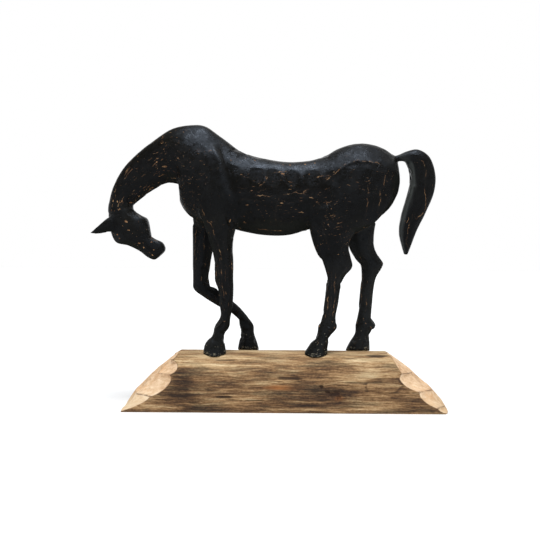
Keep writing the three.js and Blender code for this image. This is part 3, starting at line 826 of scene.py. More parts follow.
class Tree:
    """Short names for node building."""

    def __init__(self, name):
        self.mat = bpy.data.materials.new(name)
        self.mat.use_nodes = True
        self.t = self.mat.node_tree
        self.t.nodes.clear()
        self.out = self.t.nodes.new("ShaderNodeOutputMaterial")
        self.bsdf = self.t.nodes.new("ShaderNodeBsdfPrincipled")
        self.link(self.bsdf.outputs[0], self.out.inputs[0])

    def link(self, a, b):
        self.t.links.new(a, b)

    def put(self, sock, v):
        if isinstance(v, bpy.types.NodeSocket):
            self.link(v, sock)
        elif v is not None:
            sock.default_value = v

    def attr(self, name, vector=False):
        n = self.t.nodes.new("ShaderNodeAttribute")
        n.attribute_type = "GEOMETRY"
        n.attribute_name = name
        return n.outputs["Vector" if vector else "Fac"]

    def coords(self):
        return self.t.nodes.new("ShaderNodeTexCoord").outputs["Object"]

    def scale(self, vec, s, shift=(0, 0, 0)):
        n = self.t.nodes.new("ShaderNodeMapping")
        self.put(n.inputs["Vector"], vec)
        n.inputs["Scale"].default_value = s
        n.inputs["Location"].default_value = shift
        return n.outputs[0]

    def shiftv(self, vec, by, amount):
        """Push a place along amount by a noise value that is centred on a half."""
        c = self.math("SUBTRACT", by, 0.5)
        n = self.t.nodes.new("ShaderNodeVectorMath")
        n.operation = "SCALE"
        n.inputs[0].default_value = amount
        self.link(c, n.inputs["Scale"])
        a = self.t.nodes.new("ShaderNodeVectorMath")
        a.operation = "ADD"
        self.put(a.inputs[0], vec)
        self.link(n.outputs[0], a.inputs[1])
        return a.outputs[0]

    def noise(self, vec, scale=1.0, detail=2.0, rough=0.5, distort=0.0):
        n = self.t.nodes.new("ShaderNodeTexNoise")
        self.put(n.inputs["Vector"], vec)
        n.inputs["Scale"].default_value = scale
        n.inputs["Detail"].default_value = detail
        n.inputs["Roughness"].default_value = rough
        n.inputs["Distortion"].default_value = distort
        return n.outputs["Fac"]

    def dashes(self, vec, scale, density, radius, ragged, shift=(0, 0, 0)):
        """Scattered short strokes: one in each cell of a stretched lattice, a share of them kept."""
        n = self.t.nodes.new("ShaderNodeTexVoronoi")
        n.feature = "F1"
        self.put(n.inputs["Vector"], self.scale(vec, scale, shift))
        n.inputs["Scale"].default_value = 1.0
        n.inputs["Randomness"].default_value = 0.92
        c = self.t.nodes.new("ShaderNodeSeparateColor")
        self.link(n.outputs["Color"], c.inputs[0])
        keep = self.math("GREATER_THAN", density, c.outputs[0])
        reach = self.math("MULTIPLY_ADD", c.outputs[1], radius, radius * 0.45)
        d = self.math("ADD", n.outputs["Distance"], ragged)
        on = self.step(self.math("SUBTRACT", d, reach), 0.05, -0.05)
        return self.math("MULTIPLY", on, keep)

    def math(self, op, a, b=0.0, c=0.0, clamp=False):
        n = self.t.nodes.new("ShaderNodeMath")
        n.operation = op
        n.use_clamp = clamp
        self.put(n.inputs[0], a)
        self.put(n.inputs[1], b)
        self.put(n.inputs[2], c)
        return n.outputs[0]

    def step(self, v, lo, hi, a=0.0, b=1.0):
        n = self.t.nodes.new("ShaderNodeMapRange")
        n.interpolation_type = "SMOOTHSTEP"
        self.put(n.inputs["Value"], v)
        n.inputs["From Min"].default_value = lo
        n.inputs["From Max"].default_value = hi
        n.inputs["To Min"].default_value = a
        n.inputs["To Max"].default_value = b
        return n.outputs[0]

    def mix(self, f, a, b):
        n = self.t.nodes.new("ShaderNodeMix")
        n.data_type = "RGBA"
        self.put(n.inputs["Factor"], f)
        self.put(n.inputs["A"], a)
        self.put(n.inputs["B"], b)
        return n.outputs["Result"]

    def mixf(self, f, a, b):
        n = self.t.nodes.new("ShaderNodeMix")
        n.data_type = "FLOAT"
        self.put(n.inputs[0], f)
        self.put(n.inputs[2], a)
        self.put(n.inputs[3], b)
        return n.outputs[0]

    def ramp(self, f, stops):
        n = self.t.nodes.new("ShaderNodeValToRGB")
        self.put(n.inputs[0], f)
        r = n.color_ramp
        while len(r.elements) > len(stops):
            r.elements.remove(r.elements[-1])
        while len(r.elements) < len(stops):
            r.elements.new(1.0)
        for e, (pos, col) in zip(r.elements, stops):
            e.position = pos
            e.color = col
        return n.outputs[0]

    def bump(self, h, dist, strength=1.0, normal=None):
        n = self.t.nodes.new("ShaderNodeBump")
        n.inputs["Strength"].default_value = strength
        n.inputs["Distance"].default_value = dist
        self.put(n.inputs["Height"], h)
        if normal is not None:
            self.link(normal, n.inputs["Normal"])
        return n.outputs[0]

    def xyz(self, vec):
        n = self.t.nodes.new("ShaderNodeSeparateXYZ")
        self.put(n.inputs[0], vec)
        return n.outputs


SIGMA = 0.105      # spread of the stroke noises


def paint_material():
    T = Tree("black_painted_wood")
    pos = T.coords()
    mm = T.scale(pos, (1000, 1000, 1000))
    loc = T.attr("local", True)          # mm: along the member, across, beside
    whole = T.attr("whole")              # 1 where strokes follow the body, 0 where they follow the member
    high = T.attr("high")                # how rarely the paint is rubbed through here
    seam, seam_on = T.attr("seam"), T.attr("seam_on")      # mm off the nearest rubbed line, and how strong it is
    ridge = T.attr("ridge")
    spot = T.attr("spot")
    hoof = T.attr("hoof")
    groove = T.attr("groove")
    dull_and_painted_light = T.attr("dull_and_painted_light")
    faint = T.attr("faint")
    painted_light_lift = T.attr("painted_light_lift")
    fine = T.noise(mm, 0.80, 2.0, 0.6)
    patch = T.noise(mm, 0.034, 2.0, 0.5)
    bend = T.noise(mm, 0.10, 2.0, 0.5)
    # rubbed strokes: the peaks of stretched noises, over a height set place by place
    cluster = T.math("MULTIPLY", T.math("SUBTRACT", patch, 0.5), 0.18)
    crumb = T.math("MULTIPLY", T.math("SUBTRACT", fine, 0.5), 0.14)

    def strokes_of(vec, scale, shift, sigma, rarer, soft=0.016, rough=0.35):
        v = T.noise(T.scale(vec, scale, shift), 1.0, 2.0, 0.5)
        v = T.math("ADD", T.math("ADD", v, cluster), T.math("MULTIPLY", crumb, rough))
        limit = T.math("MULTIPLY_ADD", high, sigma, 0.5 + rarer)
        return T.step(T.math("SUBTRACT", v, limit), -soft, soft)

    warped = T.shiftv(loc, bend, (0, 0, 6.0))
    warped2 = T.shiftv(mm, bend, (4.0, 0, 7.0))
    along = strokes_of(warped, (0.042, 0.90, 0.90), (0, 0, 0), SIGMA, -0.008)
    body = strokes_of(warped2, (0.080, 0.75, 0.95), (3, 1, 2), SIGMA, -0.004)
    specks = strokes_of(mm, (0.80, 0.80, 0.80), (2, 8, 4), SIGMA, 0.052, 0.016, 1.0)
    strokes = T.math("MAXIMUM", T.mixf(T.math("GREATER_THAN", whole, 0.5), along, body), specks)
    # rubbed lines, broken up
    streak = T.noise(T.scale(mm, (0.060, 0.060, 0.060), (2, 1, 1)), 1.0, 4.0, 0.72)
    streak2 = T.noise(mm, 0.16, 3.0, 0.6)
    off = T.math("ADD", seam, T.math("MULTIPLY", T.math("SUBTRACT", T.noise(mm, 0.13, 2.0, 0.5), 0.5), 7.0))
    off = T.math("ABSOLUTE", off)
    thick = T.math("ADD", T.math("MULTIPLY", T.math("SUBTRACT", streak, 0.475), 10.0), T.math("MULTIPLY", T.math("SUBTRACT", fine, 0.5), 3.0))
    thick = T.math("MULTIPLY", T.math("MINIMUM", thick, 0.85), seam_on)
    arris = T.step(T.math("SUBTRACT", thick, off), -0.15, 0.35)
    r = T.math("MULTIPLY", ridge, T.math("ADD", T.math("MULTIPLY", streak2, 0.9), T.math("MULTIPLY", patch, 0.5)))
    r = T.math("ADD", r, T.math("MULTIPLY", T.math("SUBTRACT", fine, 0.5), 0.6))
    ridges = T.step(r, 0.62, 0.74)
    sp = T.math("ADD", T.math("MULTIPLY", spot, 0.80), T.math("MULTIPLY", T.math("SUBTRACT", fine, 0.5), 1.7))
    sp = T.math("ADD", sp, T.math("MULTIPLY", T.math("SUBTRACT", T.noise(mm, 0.22, 2.0, 0.6), 0.5), 2.2))
    sp = T.math("MULTIPLY", T.step(sp, 0.62, 0.80), T.step(spot, 0.02, 0.15))
    ragged = T.math("MULTIPLY", T.math("SUBTRACT", fine, 0.5), 0.6)
    dots = T.dashes(mm, (0.50, 0.50, 0.62), T.math("MULTIPLY", hoof, 0.13), 0.26, ragged, (2, 2, 2))
    rim = T.dashes(mm, (0.22, 0.22, 0.90), T.math("MULTIPLY", T.step(hoof, 1.0, 1.5), 0.75), 0.34, ragged, (4, 1, 7))
    mask = T.math("MAXIMUM", strokes, arris)
    mask = T.math("MAXIMUM", mask, ridges)
    mask = T.math("MAXIMUM", mask, sp)
    mask = T.math("MULTIPLY", mask, T.step(groove, 0.55, 0.15), clamp=True)
    mask = T.math("MULTIPLY", mask, faint)
    pale = T.math("MAXIMUM", dots, rim)
    # colours
    tone = T.noise(T.scale(mm, (0.16, 0.16, 0.20), (3, 3, 3)), 1.0, 3.0, 0.65)
    wood = T.ramp(tone, [(0.30, srgb(86, 58, 40)), (0.46, srgb(132, 96, 66)), (0.58, srgb(172, 132, 94)), (0.74, srgb(192, 166, 124))])
    cloud = T.noise(T.scale(mm, (0.026, 0.026, 0.026), (3, 1, 2)), 1.0, 3.0, 0.6)
    paint = T.ramp(cloud, [(0.30, srgb(11, 9, 5)), (0.55, srgb(14, 12, 8)), (0.75, srgb(20, 18, 13))])
    dust = T.step(T.noise(T.scale(mm, (0.21, 0.21, 0.21), (1, 5, 2)), 1.0, 3.0, 0.65), 0.60, 0.86, 0.0, 0.45)
    paint = T.mix(dust, paint, srgb(40, 38, 33))
    # painted light: where the paint is dullest, mostly on faces turned down, its colour is lifted to a lighter grey
    paint = T.mix(T.step(dull_and_painted_light, 0.60, 1.20), paint, T.ramp(cloud, [(0.30, srgb(22, 23, 21)), (0.75, srgb(30, 31, 29))]))
    # painted light: a lighter grey on the tail's left face, the lower hind legs and most hooves
    paint = T.mix(painted_light_lift, paint, T.ramp(cloud, [(0.30, srgb(52, 54, 52)), (0.75, srgb(66, 68, 66))]))
    near = T.math("MULTIPLY", T.step(off, 2.2, 0.5), T.math("MULTIPLY", seam_on, 0.30))
    paint = T.mix(near, paint, srgb(44, 38, 31))
    col = T.mix(mask, paint, wood)
    col = T.mix(T.math("MULTIPLY", pale, 0.85), col, srgb(132, 126, 108))
    T.put(T.bsdf.inputs["Base Color"], col)
    sheen = T.noise(T.scale(mm, (0.11, 0.11, 0.11), (9, 2, 4)), 1.0, 4.0, 0.70)
    rough = T.step(sheen, 0.35, 0.65, 0.20, 0.48)
    T.put(T.bsdf.inputs["Roughness"], T.mixf(T.math("MAXIMUM", mask, pale), rough, 0.75))
    shine = T.math("MULTIPLY_ADD", T.math("MAXIMUM", dull_and_painted_light, -1.6), -0.15, 0.175)
    T.put(T.bsdf.inputs["Specular IOR Level"], T.math("MAXIMUM", shine, 0.0))
    T.bsdf.inputs["Specular Tint"].default_value = (0.67, 0.80, 1.0, 1.0)
    # wood grain and brush marks under the paint
    g2 = T.noise(T.scale(loc, (0.05, 0.9, 0.9), (2, 2, 2)), 1.0, 4.0, 0.65)
    g3 = T.noise(mm, 0.33, 3.0, 0.6)
    h = T.math("ADD", T.math("MULTIPLY", g2, 0.42), T.math("MULTIPLY", g3, 0.28))
    h = T.math("ADD", h, T.math("MULTIPLY", fine, 0.22))
    h = T.math("SUBTRACT", h, T.math("MULTIPLY", mask, 0.20))
    T.put(T.bsdf.inputs["Normal"], T.bump(h, 0.0013, 0.75))
    return T.mat


def log_material():
    T = Tree("weathered_log")
    pos = T.coords()
    mm = T.scale(pos, (1000, 1000, 1000))
    hewn, check, under, relief, crease, cut, knot, tint, rust = (
        T.attr(k) for k in ("hewn", "check", "under", "relief", "crease", "cut", "knot", "tint", "rust"))
    xyz = T.xyz(mm)
    # weathered face: streaks along x, from broad to hair fine
    wob = T.shiftv(mm, T.noise(T.scale(mm, (0.02, 0.05, 0.05)), 1.0, 2.0, 0.5), (0, 5.0, 5.0))
    s1 = T.noise(T.scale(wob, (0.016, 0.17, 0.20)), 1.0, 4.0, 0.62)
    s2 = T.noise(T.scale(wob, (0.030, 0.52, 0.62), (1, 2, 3)), 1.0, 5.0, 0.70)
    s3 = T.noise(T.scale(wob, (0.10, 1.3, 1.6), (4, 2, 1)), 1.0, 3.0, 0.65)
    s4 = T.noise(T.scale(mm, (0.012, 0.045, 0.06), (7, 2, 1)), 1.0, 3.0, 0.55)
    s5 = T.noise(T.scale(mm, (0.30, 0.42, 0.50), (1, 7, 2)), 1.0, 3.0, 0.6)
    tone = T.math("ADD", T.math("MULTIPLY", s1, 0.62), T.math("MULTIPLY", s2, 0.50))
    tone = T.math("ADD", tone, T.math("MULTIPLY", s3, 0.28))
    tone = T.math("ADD", tone, T.math("MULTIPLY", s4, 0.56))
    tone = T.math("ADD", tone, T.math("MULTIPLY", s5, 0.22))
    tone = T.math("SUBTRACT", tone, 1.09 - 0.47)
    tone = T.math("ADD", tone, T.math("MULTIPLY", relief, 0.030))
    # lighter towards the top: partly the weathered wood's own colour, partly painted light from above
    tone = T.math("ADD", tone, T.math("MULTIPLY", T.step(xyz[2], 46, 77), 0.125))
    # painted shade: darker along the bottom edge, next to the floor
    tone = T.math("SUBTRACT", tone, T.step(xyz[2], 5.0, 0.5, 0.0, 0.05))
    tone = T.math("ADD", tone, T.math("MULTIPLY", tint, 0.11))
    bark = T.ramp(tone, [(0.28, srgb(48, 34, 25)), (0.39, srgb(86, 62, 42)), (0.475, srgb(122, 91, 61)), (0.55, srgb(152, 119, 82)),
                         (0.64, srgb(186, 154, 114)), (0.76, srgb(220, 196, 156))])
    cold = T.step(T.noise(T.scale(wob, (0.02, 0.12, 0.14), (9, 9, 1)), 1.0, 3.0, 0.6), 0.46, 0.66, 0.05, 0.62)
    bark = T.mix(cold, bark, T.ramp(tone, [(0.32, srgb(60, 50, 38)), (0.48, srgb(120, 102, 74)), (0.64, srgb(176, 154, 118))]))
    bark = T.mix(T.math("MULTIPLY", rust, 0.75, clamp=True), bark, T.ramp(s2, [(0.35, srgb(128, 76, 40)), (0.65, srgb(200, 130, 70))]))
    hair = T.step(T.noise(T.scale(wob, (0.035, 1.1, 1.4), (8, 1, 5)), 1.0, 3.0, 0.6), 0.60, 0.69, 0.0, 0.62)
    bark = T.mix(T.math("MAXIMUM", hair, T.math("MULTIPLY", check, 0.85)), bark, srgb(50, 36, 26))
    bright = T.step(T.noise(T.scale(wob, (0.045, 0.9, 1.1), (3, 6, 5)), 1.0, 3.0, 0.6), 0.62, 0.73, 0.0, 0.30)
    bark = T.mix(bright, bark, srgb(206, 174, 130))
    bark = T.mix(T.math("MULTIPLY", knot, T.step(s2, 0.62, 0.42, 0.55, 0.95)), bark, srgb(48, 32, 24))
    # fresh gouge cuts
    c1 = T.noise(T.scale(mm, (0.05, 0.14, 0.24)), 1.0, 4.0, 0.6, 0.4)
    c2 = T.noise(mm, 0.022, 2.0, 0.5)
    c3 = T.noise(T.scale(mm, (0.16, 0.9, 1.1), (3, 3, 3)), 1.0, 3.0, 0.6)
    ct = T.math("ADD", T.math("MULTIPLY", c1, 0.50), T.math("MULTIPLY", c2, 0.36))
    ct = T.math("ADD", ct, T.math("MULTIPLY", c3, 0.22))
    ct = T.math("ADD", ct, T.math("MULTIPLY", cut, 0.025))
    pale = T.ramp(ct, [(0.38, srgb(176, 138, 104)), (0.48, srgb(204, 170, 134)), (0.57, srgb(220, 190, 156)), (0.68, srgb(236, 212, 180))])
    warm = T.step(T.noise(T.scale(mm, (0.03, 0.045, 0.055), (6, 2, 8)), 1.0, 3.0, 0.6), 0.48, 0.66, 0.0, 0.55)
    pale = T.mix(warm, pale, T.ramp(ct, [(0.38, srgb(178, 128, 86)), (0.56, srgb(216, 170, 124)), (0.68, srgb(228, 190, 146))]))
    # painted shade: the cut ends darker towards the bottom
    pale = T.mix(T.step(xyz[2], 30, 6, 0.0, 0.40), pale, srgb(190, 168, 132))
    edge = T.math("ADD", hewn, T.math("MULTIPLY", T.math("SUBTRACT", s3, 0.5), 0.5))
    col = T.mix(T.step(edge, 0.42, 0.55), bark, pale)
    rim = T.math("MULTIPLY", T.step(hewn, 0.98, 0.5), T.step(hewn, 0.1, 0.5))
    col = T.mix(T.math("MULTIPLY", rim, 0.55), col, srgb(120, 88, 60))
    # painted shade: thin dark lines along the creases where gouge cuts meet
    crease_shade = T.math("MULTIPLY", crease, T.step(T.noise(mm, 0.12, 3.0, 0.6), 0.40, 0.60, 0.25, 0.85))
    col = T.mix(crease_shade, col, srgb(96, 66, 44))
    sawn = T.ramp(s1, [(0.35, srgb(112, 86, 60)), (0.65, srgb(160, 130, 96))])
    col = T.mix(under, col, sawn)
    T.put(T.bsdf.inputs["Base Color"], col)
    T.put(T.bsdf.inputs["Roughness"], T.step(s1, 0.3, 0.7, 0.72, 0.88))
    T.bsdf.inputs["Specular IOR Level"].default_value = 0.22
    h = T.math("ADD", T.math("MULTIPLY", s1, 0.5), T.math("MULTIPLY", s2, 0.6))
    h = T.math("ADD", h, T.math("MULTIPLY", s3, 0.35))
    h = T.math("SUBTRACT", h, T.math("MULTIPLY", hair, 0.5))
    h = T.mixf(hewn, h, T.math("ADD", T.math("MULTIPLY", c1, 0.25), T.math("MULTIPLY", c3, 0.30)))
    T.put(T.bsdf.inputs["Normal"], T.bump(h, 0.0016, 0.7))
    return T.mat


# ------------------------------------------------------------------ the pieces

# Carved lines and rubbed arrises in the side view, as (x, z) in mm.
SHOULDER_GROOVE = ((-97, 362), (-90, 351), (-86.5, 342), (-80, 327), (-76, 313), (-71.5, 299), (-68, 281), (-66, 260))
SHOULDER_RIDGE = ((-105, 369), (-98.5, 352), (-94, 341), (-88.5, 325), (-84.5, 312), (-79.5, 297), (-75, 280))
CROUP = ((52.3, 314.3), (62, 323), (77.3, 336.5), (94, 342.6), (107.6, 341.3), (129.5, 337.8))
THIGH_CREASE = ((126, 268), (120, 258.6), (106.8, 248.9), (91.4, 241.2), (84.5, 232.5), (82.9, 222))
TAIL_LINE = ((179, 349), (187.9, 342.7), (192.1, 331.5), (192.1, 317.5), (190.4, 300), (192.6, 286), (191, 274), (183, 267))
TAIL_LOW = ((172.5, 265.7), (167.4, 247), (166.2, 231), (170.6, 219.5))
FORE_ARRIS = ((-112, 262), (-104.6, 254.6), (-99, 236.9), (-93.4, 219.2), (-89.8, 202.8), (-90, 178), (-86, 150))
BARREL_LINE = ((-10, 292), (-14.5, 284), (-17, 270), (-16, 258))
# Thin rubbed lines down the legs, over the thigh, the shoulder and the barrel.
LEG_LINES = (((-77.1, 218), (-76.3, 204), (-75.8, 189)), ((-98, 196), (-96, 170), (-93, 148)),
             ((56.1, 197), (55.2, 168), (55.6, 137)), ((65.2, 188), (66, 160), (63.1, 127)), ((108.4, 186), (106, 168), (105.6, 148)),
             ((113, 153), (112.7, 131)), ((-129, 249), (-130, 220), (-129, 195)), ((-115.7, 246), (-117, 226), (-115.7, 208)),
             ((47.8, 260), (50, 242), (56, 225)), ((-120, 284), (-115, 270), (-112, 262)), ((-77, 270), (-70, 256), (-63.3, 244)),
             ((-104, 150), (-106, 132)), ((-60, 140), (-48, 122), (-44, 112)))
BODY_LINES = (((132.6, 328), (133, 317), (130.5, 307)), ((126.4, 303), (125.5, 284), (122.8, 266)), ((108.4, 311), (109, 288), (106, 266)),
              ((52.6, 288), (53.5, 276), (52.6, 263)), ((-47, 292), (-36, 294.5), (-22, 293)), ((-70, 287), (-58, 289), (-46, 286)),
              ((-4, 296), (10, 298), (26, 296)), ((-2, 270), (12, 273), (24, 271)), ((-42, 249), (-24, 246), (-6, 246.5)),
              ((-40, 306), (-33.8, 310.3), (-29, 315.5), (-27.5, 322.5)), ((-20, 325), (-12, 326.5), (0, 325.5)), ((-4, 311), (5, 308), (14, 306)),
              ((20, 297), (24, 302.5), (33, 303)), ((38, 320), (46, 321.5), (56, 322)), ((-64, 321), (-58, 318.5), (-53, 318)))
# Gouge cuts with places of their own, as (x, z, y, half length, half height, depth, slope in degrees).
CUTS = ((-70, 319, 34, 11, 10, 1.6, 19), (-43.5, 316, 37.5, 12.4, 11, 2.6, 18), (-16.5, 316, 38, 12.4, 11, 2.7, 18), (8, 316.5, 38, 11.8, 11, 2.7, 18),
        (30.5, 315.5, 37.5, 11.2, 11, 2.6, 18), (52, 312, 39, 11.0, 9.5, 1.6, 14),
        (-57, 299, 38.5, 13, 8, 0.7, -4), (-30, 298, 39.5, 14.5, 8, 1.0, -6), (-4, 298, 39.5, 12.5, 8, 0.9, -6), (19.5, 297.5, 39, 12, 8, 0.9, -5), (43, 292, 39, 12, 8, 0.6, -3),
        (-48, 279, 38, 14, 8, 0.8, -16), (-18, 277, 38, 15, 8, 0.9, -17), (10, 277, 38, 14, 8, 0.8, -17))
# Spots rubbed to the wood on the head and neck, as (x, z, length, width, turn in degrees).
SPOTS = ((-223.4, 257.6, 6.0, 2.2, -25), (-219.2, 245.8, 4.5, 2.0, -10), (-232.3, 233.5, 5.5, 2.0, -42), (-236, 239, 3.0, 1.2, -40),
         (-185.1, 218.5, 2.8, 2.0, 60), (-205, 228, 3.0, 2.0, 20), (-199, 222, 2.0, 1.4, 0), (-187.5, 211.5, 3.0, 1.4, -30),
         (-244.6, 273.4, 2.4, 1.0, 70), (-239.8, 272.8, 2.0, 0.9, 80), (-233.5, 274.2, 4.0, 1.3, 60),
         (-241.9, 285.9, 3.4, 1.1, 80), (-236.0, 284.6, 3.0, 1.1, 80), (-229.5, 285.5, 4.0, 1.2, 65), (-216, 284, 5.0, 1.1, 8),
         (-228, 251, 2.0, 1.5, 0), (-214, 241, 1.8, 1.2, 0), (-188.5, 229.5, 1.6, 1.6, 0))
# Places of the back rubbed to a shine, as (x, z, half length, half height, strength).
SHEEN = ((-90, 346, 9, 8, 0.8), (-66, 337, 12, 6, 1.1), (-40, 335, 9, 5, 0.8), (-17, 335, 12, 5, 1.0), (12, 333, 9, 6, 1.1), (33, 336, 8, 6, 1.0), (54, 338, 11, 6, 0.9), (-44, 345, 22, 3.5, 0.7))
# The same on the body and the fetlocks.
BODY_SPOTS = ((-63.2, 322.5, 4, 2, 20), (-29.4, 318, 4, 2.4, 0), (-7, 324, 5, 1.6, 0), (28.5, 323.5, 4, 1.4, 10), (24.5, 299, 4, 2.2, 0), (4, 307.5, 4, 1.5, 0),
              (-50, 300, 6, 1.2, 30), (-8.8, 284, 7, 1.4, 15), (-58, 257, 7, 2.2, -10), (-78.4, 258.5, 5, 2.2, 80), (-59.2, 265.5, 2.6, 1.4, 0), (-104, 257.5, 5, 2, -30),
              (-78, 342, 4, 1.2, -40), (-93, 293, 1.2, 1.2, 0), (-57.6, 346, 2.5, 1.4, -30), (-46, 343, 4, 1.3, -20), (-16.7, 337.4, 3, 1.3, 0), (-7, 336.6, 3, 1.3, 0), (3, 336.6, 5, 1.5, 0), (24, 338, 4, 1.4, 5), (37, 339.3, 5, 1.4, 10),
              (113.5, 116, 4, 2, 80), (120, 110, 3.5, 2, -60), (100, 117, 3, 1.8, 80), (103, 121, 3, 1.6, 20), (45, 115, 3, 1.6, 70), (66, 113, 3, 1.8, 70),
              (86, 131, 4, 2, 60), (95, 124, 5, 2, 70), (91, 121, 6, 1.6, 0), (64, 121, 3, 1.2, 60), (110, 123, 5, 1.6, 75), (-40, 118, 6, 1.6, -50), (-44, 113, 6, 1.4, 10),
              (-86, 121, 5, 1.5, 20), (-106, 126, 4, 1.4, 60))


def finish_horse(material):
    rows = []
    for x, z, y, a, b, dep, slope in CUTS:
        rows += [(x, -y, z, a, b, 0.8 * dep, slope), (x + 5, y, z - 1, a, b, 0.4 * dep, slope)]
    G, field, skin, lab, axes = make_horse(material, rows)
    tan, loc = member_frames(skin, lab, axes)
    x, y, z = skin.p.T
    calm = 1.0 * (smoothstep(-96, -84, x) * smoothstep(74, 60, x) * smoothstep(286, 292, z) * smoothstep(348, 342, z) * (lab == 0))
    cut, way, n, rng = facets(skin, lab, tan, calm)
    p = skin.p.copy()
    x, y, z = p.T
    near = y < 0
    outer = smoothstep(9, 17, np.abs(y))
    groove_d, groove_s = line_distance(p, SHOULDER_GROOVE)
    ridge_d, ridge_s = line_distance(p, SHOULDER_RIDGE)
    seam_d, seam_in = seam(p, LEG_LINES + (FORE_ARRIS, THIGH_CREASE))
    seam2_d, seam2_in = seam(p, BODY_LINES + (CROUP, TAIL_LINE, TAIL_LOW, BARREL_LINE))
    crease_d, _ = line_distance(p, THIGH_CREASE)
    croup_d, croup_s = line_distance(p, CROUP)
    tail_d, tail_s = line_distance(p, TAIL_LINE)
    tail2_d, _ = line_distance(p, TAIL_LOW)
    fore_d, _ = line_distance(p, FORE_ARRIS)
    barrel_d, _ = line_distance(p, BARREL_LINE)
    body = np.isin(lab, (0, 4, 5, 6, 7))
    fade = lambda s, a, b: smoothstep(0.0, a, s) * smoothstep(1.0, 1 - b, s)
    groove = np.exp(-(groove_d / 4.2) ** 2) * outer * body * fade(groove_s, 0.22, 0.25)
    swell = np.exp(-(ridge_d / 5.0) ** 2) * outer * body * fade(ridge_s, 0.25, 0.25)
    crease = np.exp(-(crease_d / 2.6) ** 2) * body * smoothstep(-24, -30, y)
    rise = np.exp(-(croup_d / 3.0) ** 2) * body * smoothstep(18, 26, np.abs(y)) * fade(croup_s, 0.2, 0.15)
    line = -2.0 * groove + 1.9 * swell + 0.7 * crease + 0.7 * rise
    # the face: brow ridge over the eye, cheek, nostril and mouth on both sides
    head = lab == 1
    cheek = np.exp(-(((x + 211) / 12) ** 2 + ((z - 256) / 11) ** 2)) * head * smoothstep(5, 12, np.abs(y))
    brow = np.exp(-((np.hypot(x + 222.5, z - 241) - 5.0) / 1.9) ** 2) * head * smoothstep(6, 11, np.abs(y)) * (x > -232)
    eye = np.exp(-(((x + 222.5) / 3.2) ** 2 + ((z - 241) / 2.6) ** 2)) * head * smoothstep(6, 11, np.abs(y))
    nostril = np.exp(-(((x + 180.5) / 2.6) ** 2 + ((z - 210.5) / 2.0) ** 2)) * head * smoothstep(4, 8, np.abs(y))
    mouth_d, _ = line_distance(p, ((-170, 216), (-178, 221), (-187, 226)))
    mouth = np.exp(-(mouth_d / 1.3) ** 2) * head * smoothstep(2, 6, np.abs(y))
    line += 1.3 * cheek + 0.35 * brow - 0.25 * eye - 0.9 * nostril - 0.35 * mouth
    soft = np.ones(len(p))
    soft[(lab == 2) | (lab == 3)] = 0.4
    sole = smoothstep(1.0, 4.0, log_round(y, z) - SOLE_GAP)
    e = skin.e
    join = np.zeros(len(p))
    join[e[lab[e[:, 0]] != lab[e[:, 1]]].ravel()] = 1
    w = join[:, None]
    for _ in range(4):
        w = np.maximum(w, skin.average(w))
    join = np.clip(w[:, 0] * 1.5, 0, 1)
    shift = way * (-cut * soft * sole * (1 - 0.75 * join))[:, None]
    for _ in range(1):
        shift = 0.85 * shift + 0.15 * skin.average(shift)
    skin.p = p + shift + n * (line * sole)[:, None]
    out = skin.bulge()[:, None]
    for _ in range(2):
        out = skin.average(out)
    convex = smoothstep(0.03, 0.15, out[:, 0])
    # where strokes follow the body rather than the member
    whole = ((lab == 0) & (x > -146)) | (np.isin(lab, (4, 5, 6, 7)) & (z > 214))
    w = whole.astype(float)[:, None]
    for _ in range(2):
        w = skin.average(w)
    whole = w[:, 0]
    # share of the surface rubbed through, place by place, in percent
    dens = np.full(len(p), 1.0)
    dens[(lab == 0) & (x < -146)] = 2.3
    dens[(lab == 0) & (x >= -146) & (x < -90)] = 2.4
    dens[(lab == 0) & (x >= -90) & (x < 60)] = 1.5
    dens[(lab == 0) & (x >= 60)] = 1.5
    dens[lab == 4] = 1.1
    dens[lab == 5] = 1.5
    dens[lab == 6] = 1.0
    dens[lab == 7] = 1.1
    dens[lab == 8] = 0.5
    dens[lab == 1] = 1.0
    dens[(lab == 2) | (lab == 3)] = 0.3
    stifle = np.exp(-(((x - 62) / 20) ** 2 + ((z - 256) / 30) ** 2))
    dens += 3.2 * stifle * np.isin(lab, (0, 6))
    upper = (lab == 0) & (x > -140) & (x < 150) & (n[:, 2] > 0.35)
    dens[upper] *= 0.35
    dens *= np.where(near, 1.0, 0.85)
    w = dens[:, None]
    for _ in range(4):
        w = skin.average(w)
    dens = w[:, 0]
    # the height a bell curve of unit width is passed by that share of places
    share = np.clip(dens / 100, 1e-4, 0.2)
    tt = np.sqrt(-2 * np.log(share))
    high = tt - (2.30753 + 0.27061 * tt) / (1 + 0.99229 * tt + 0.04481 * tt ** 2)
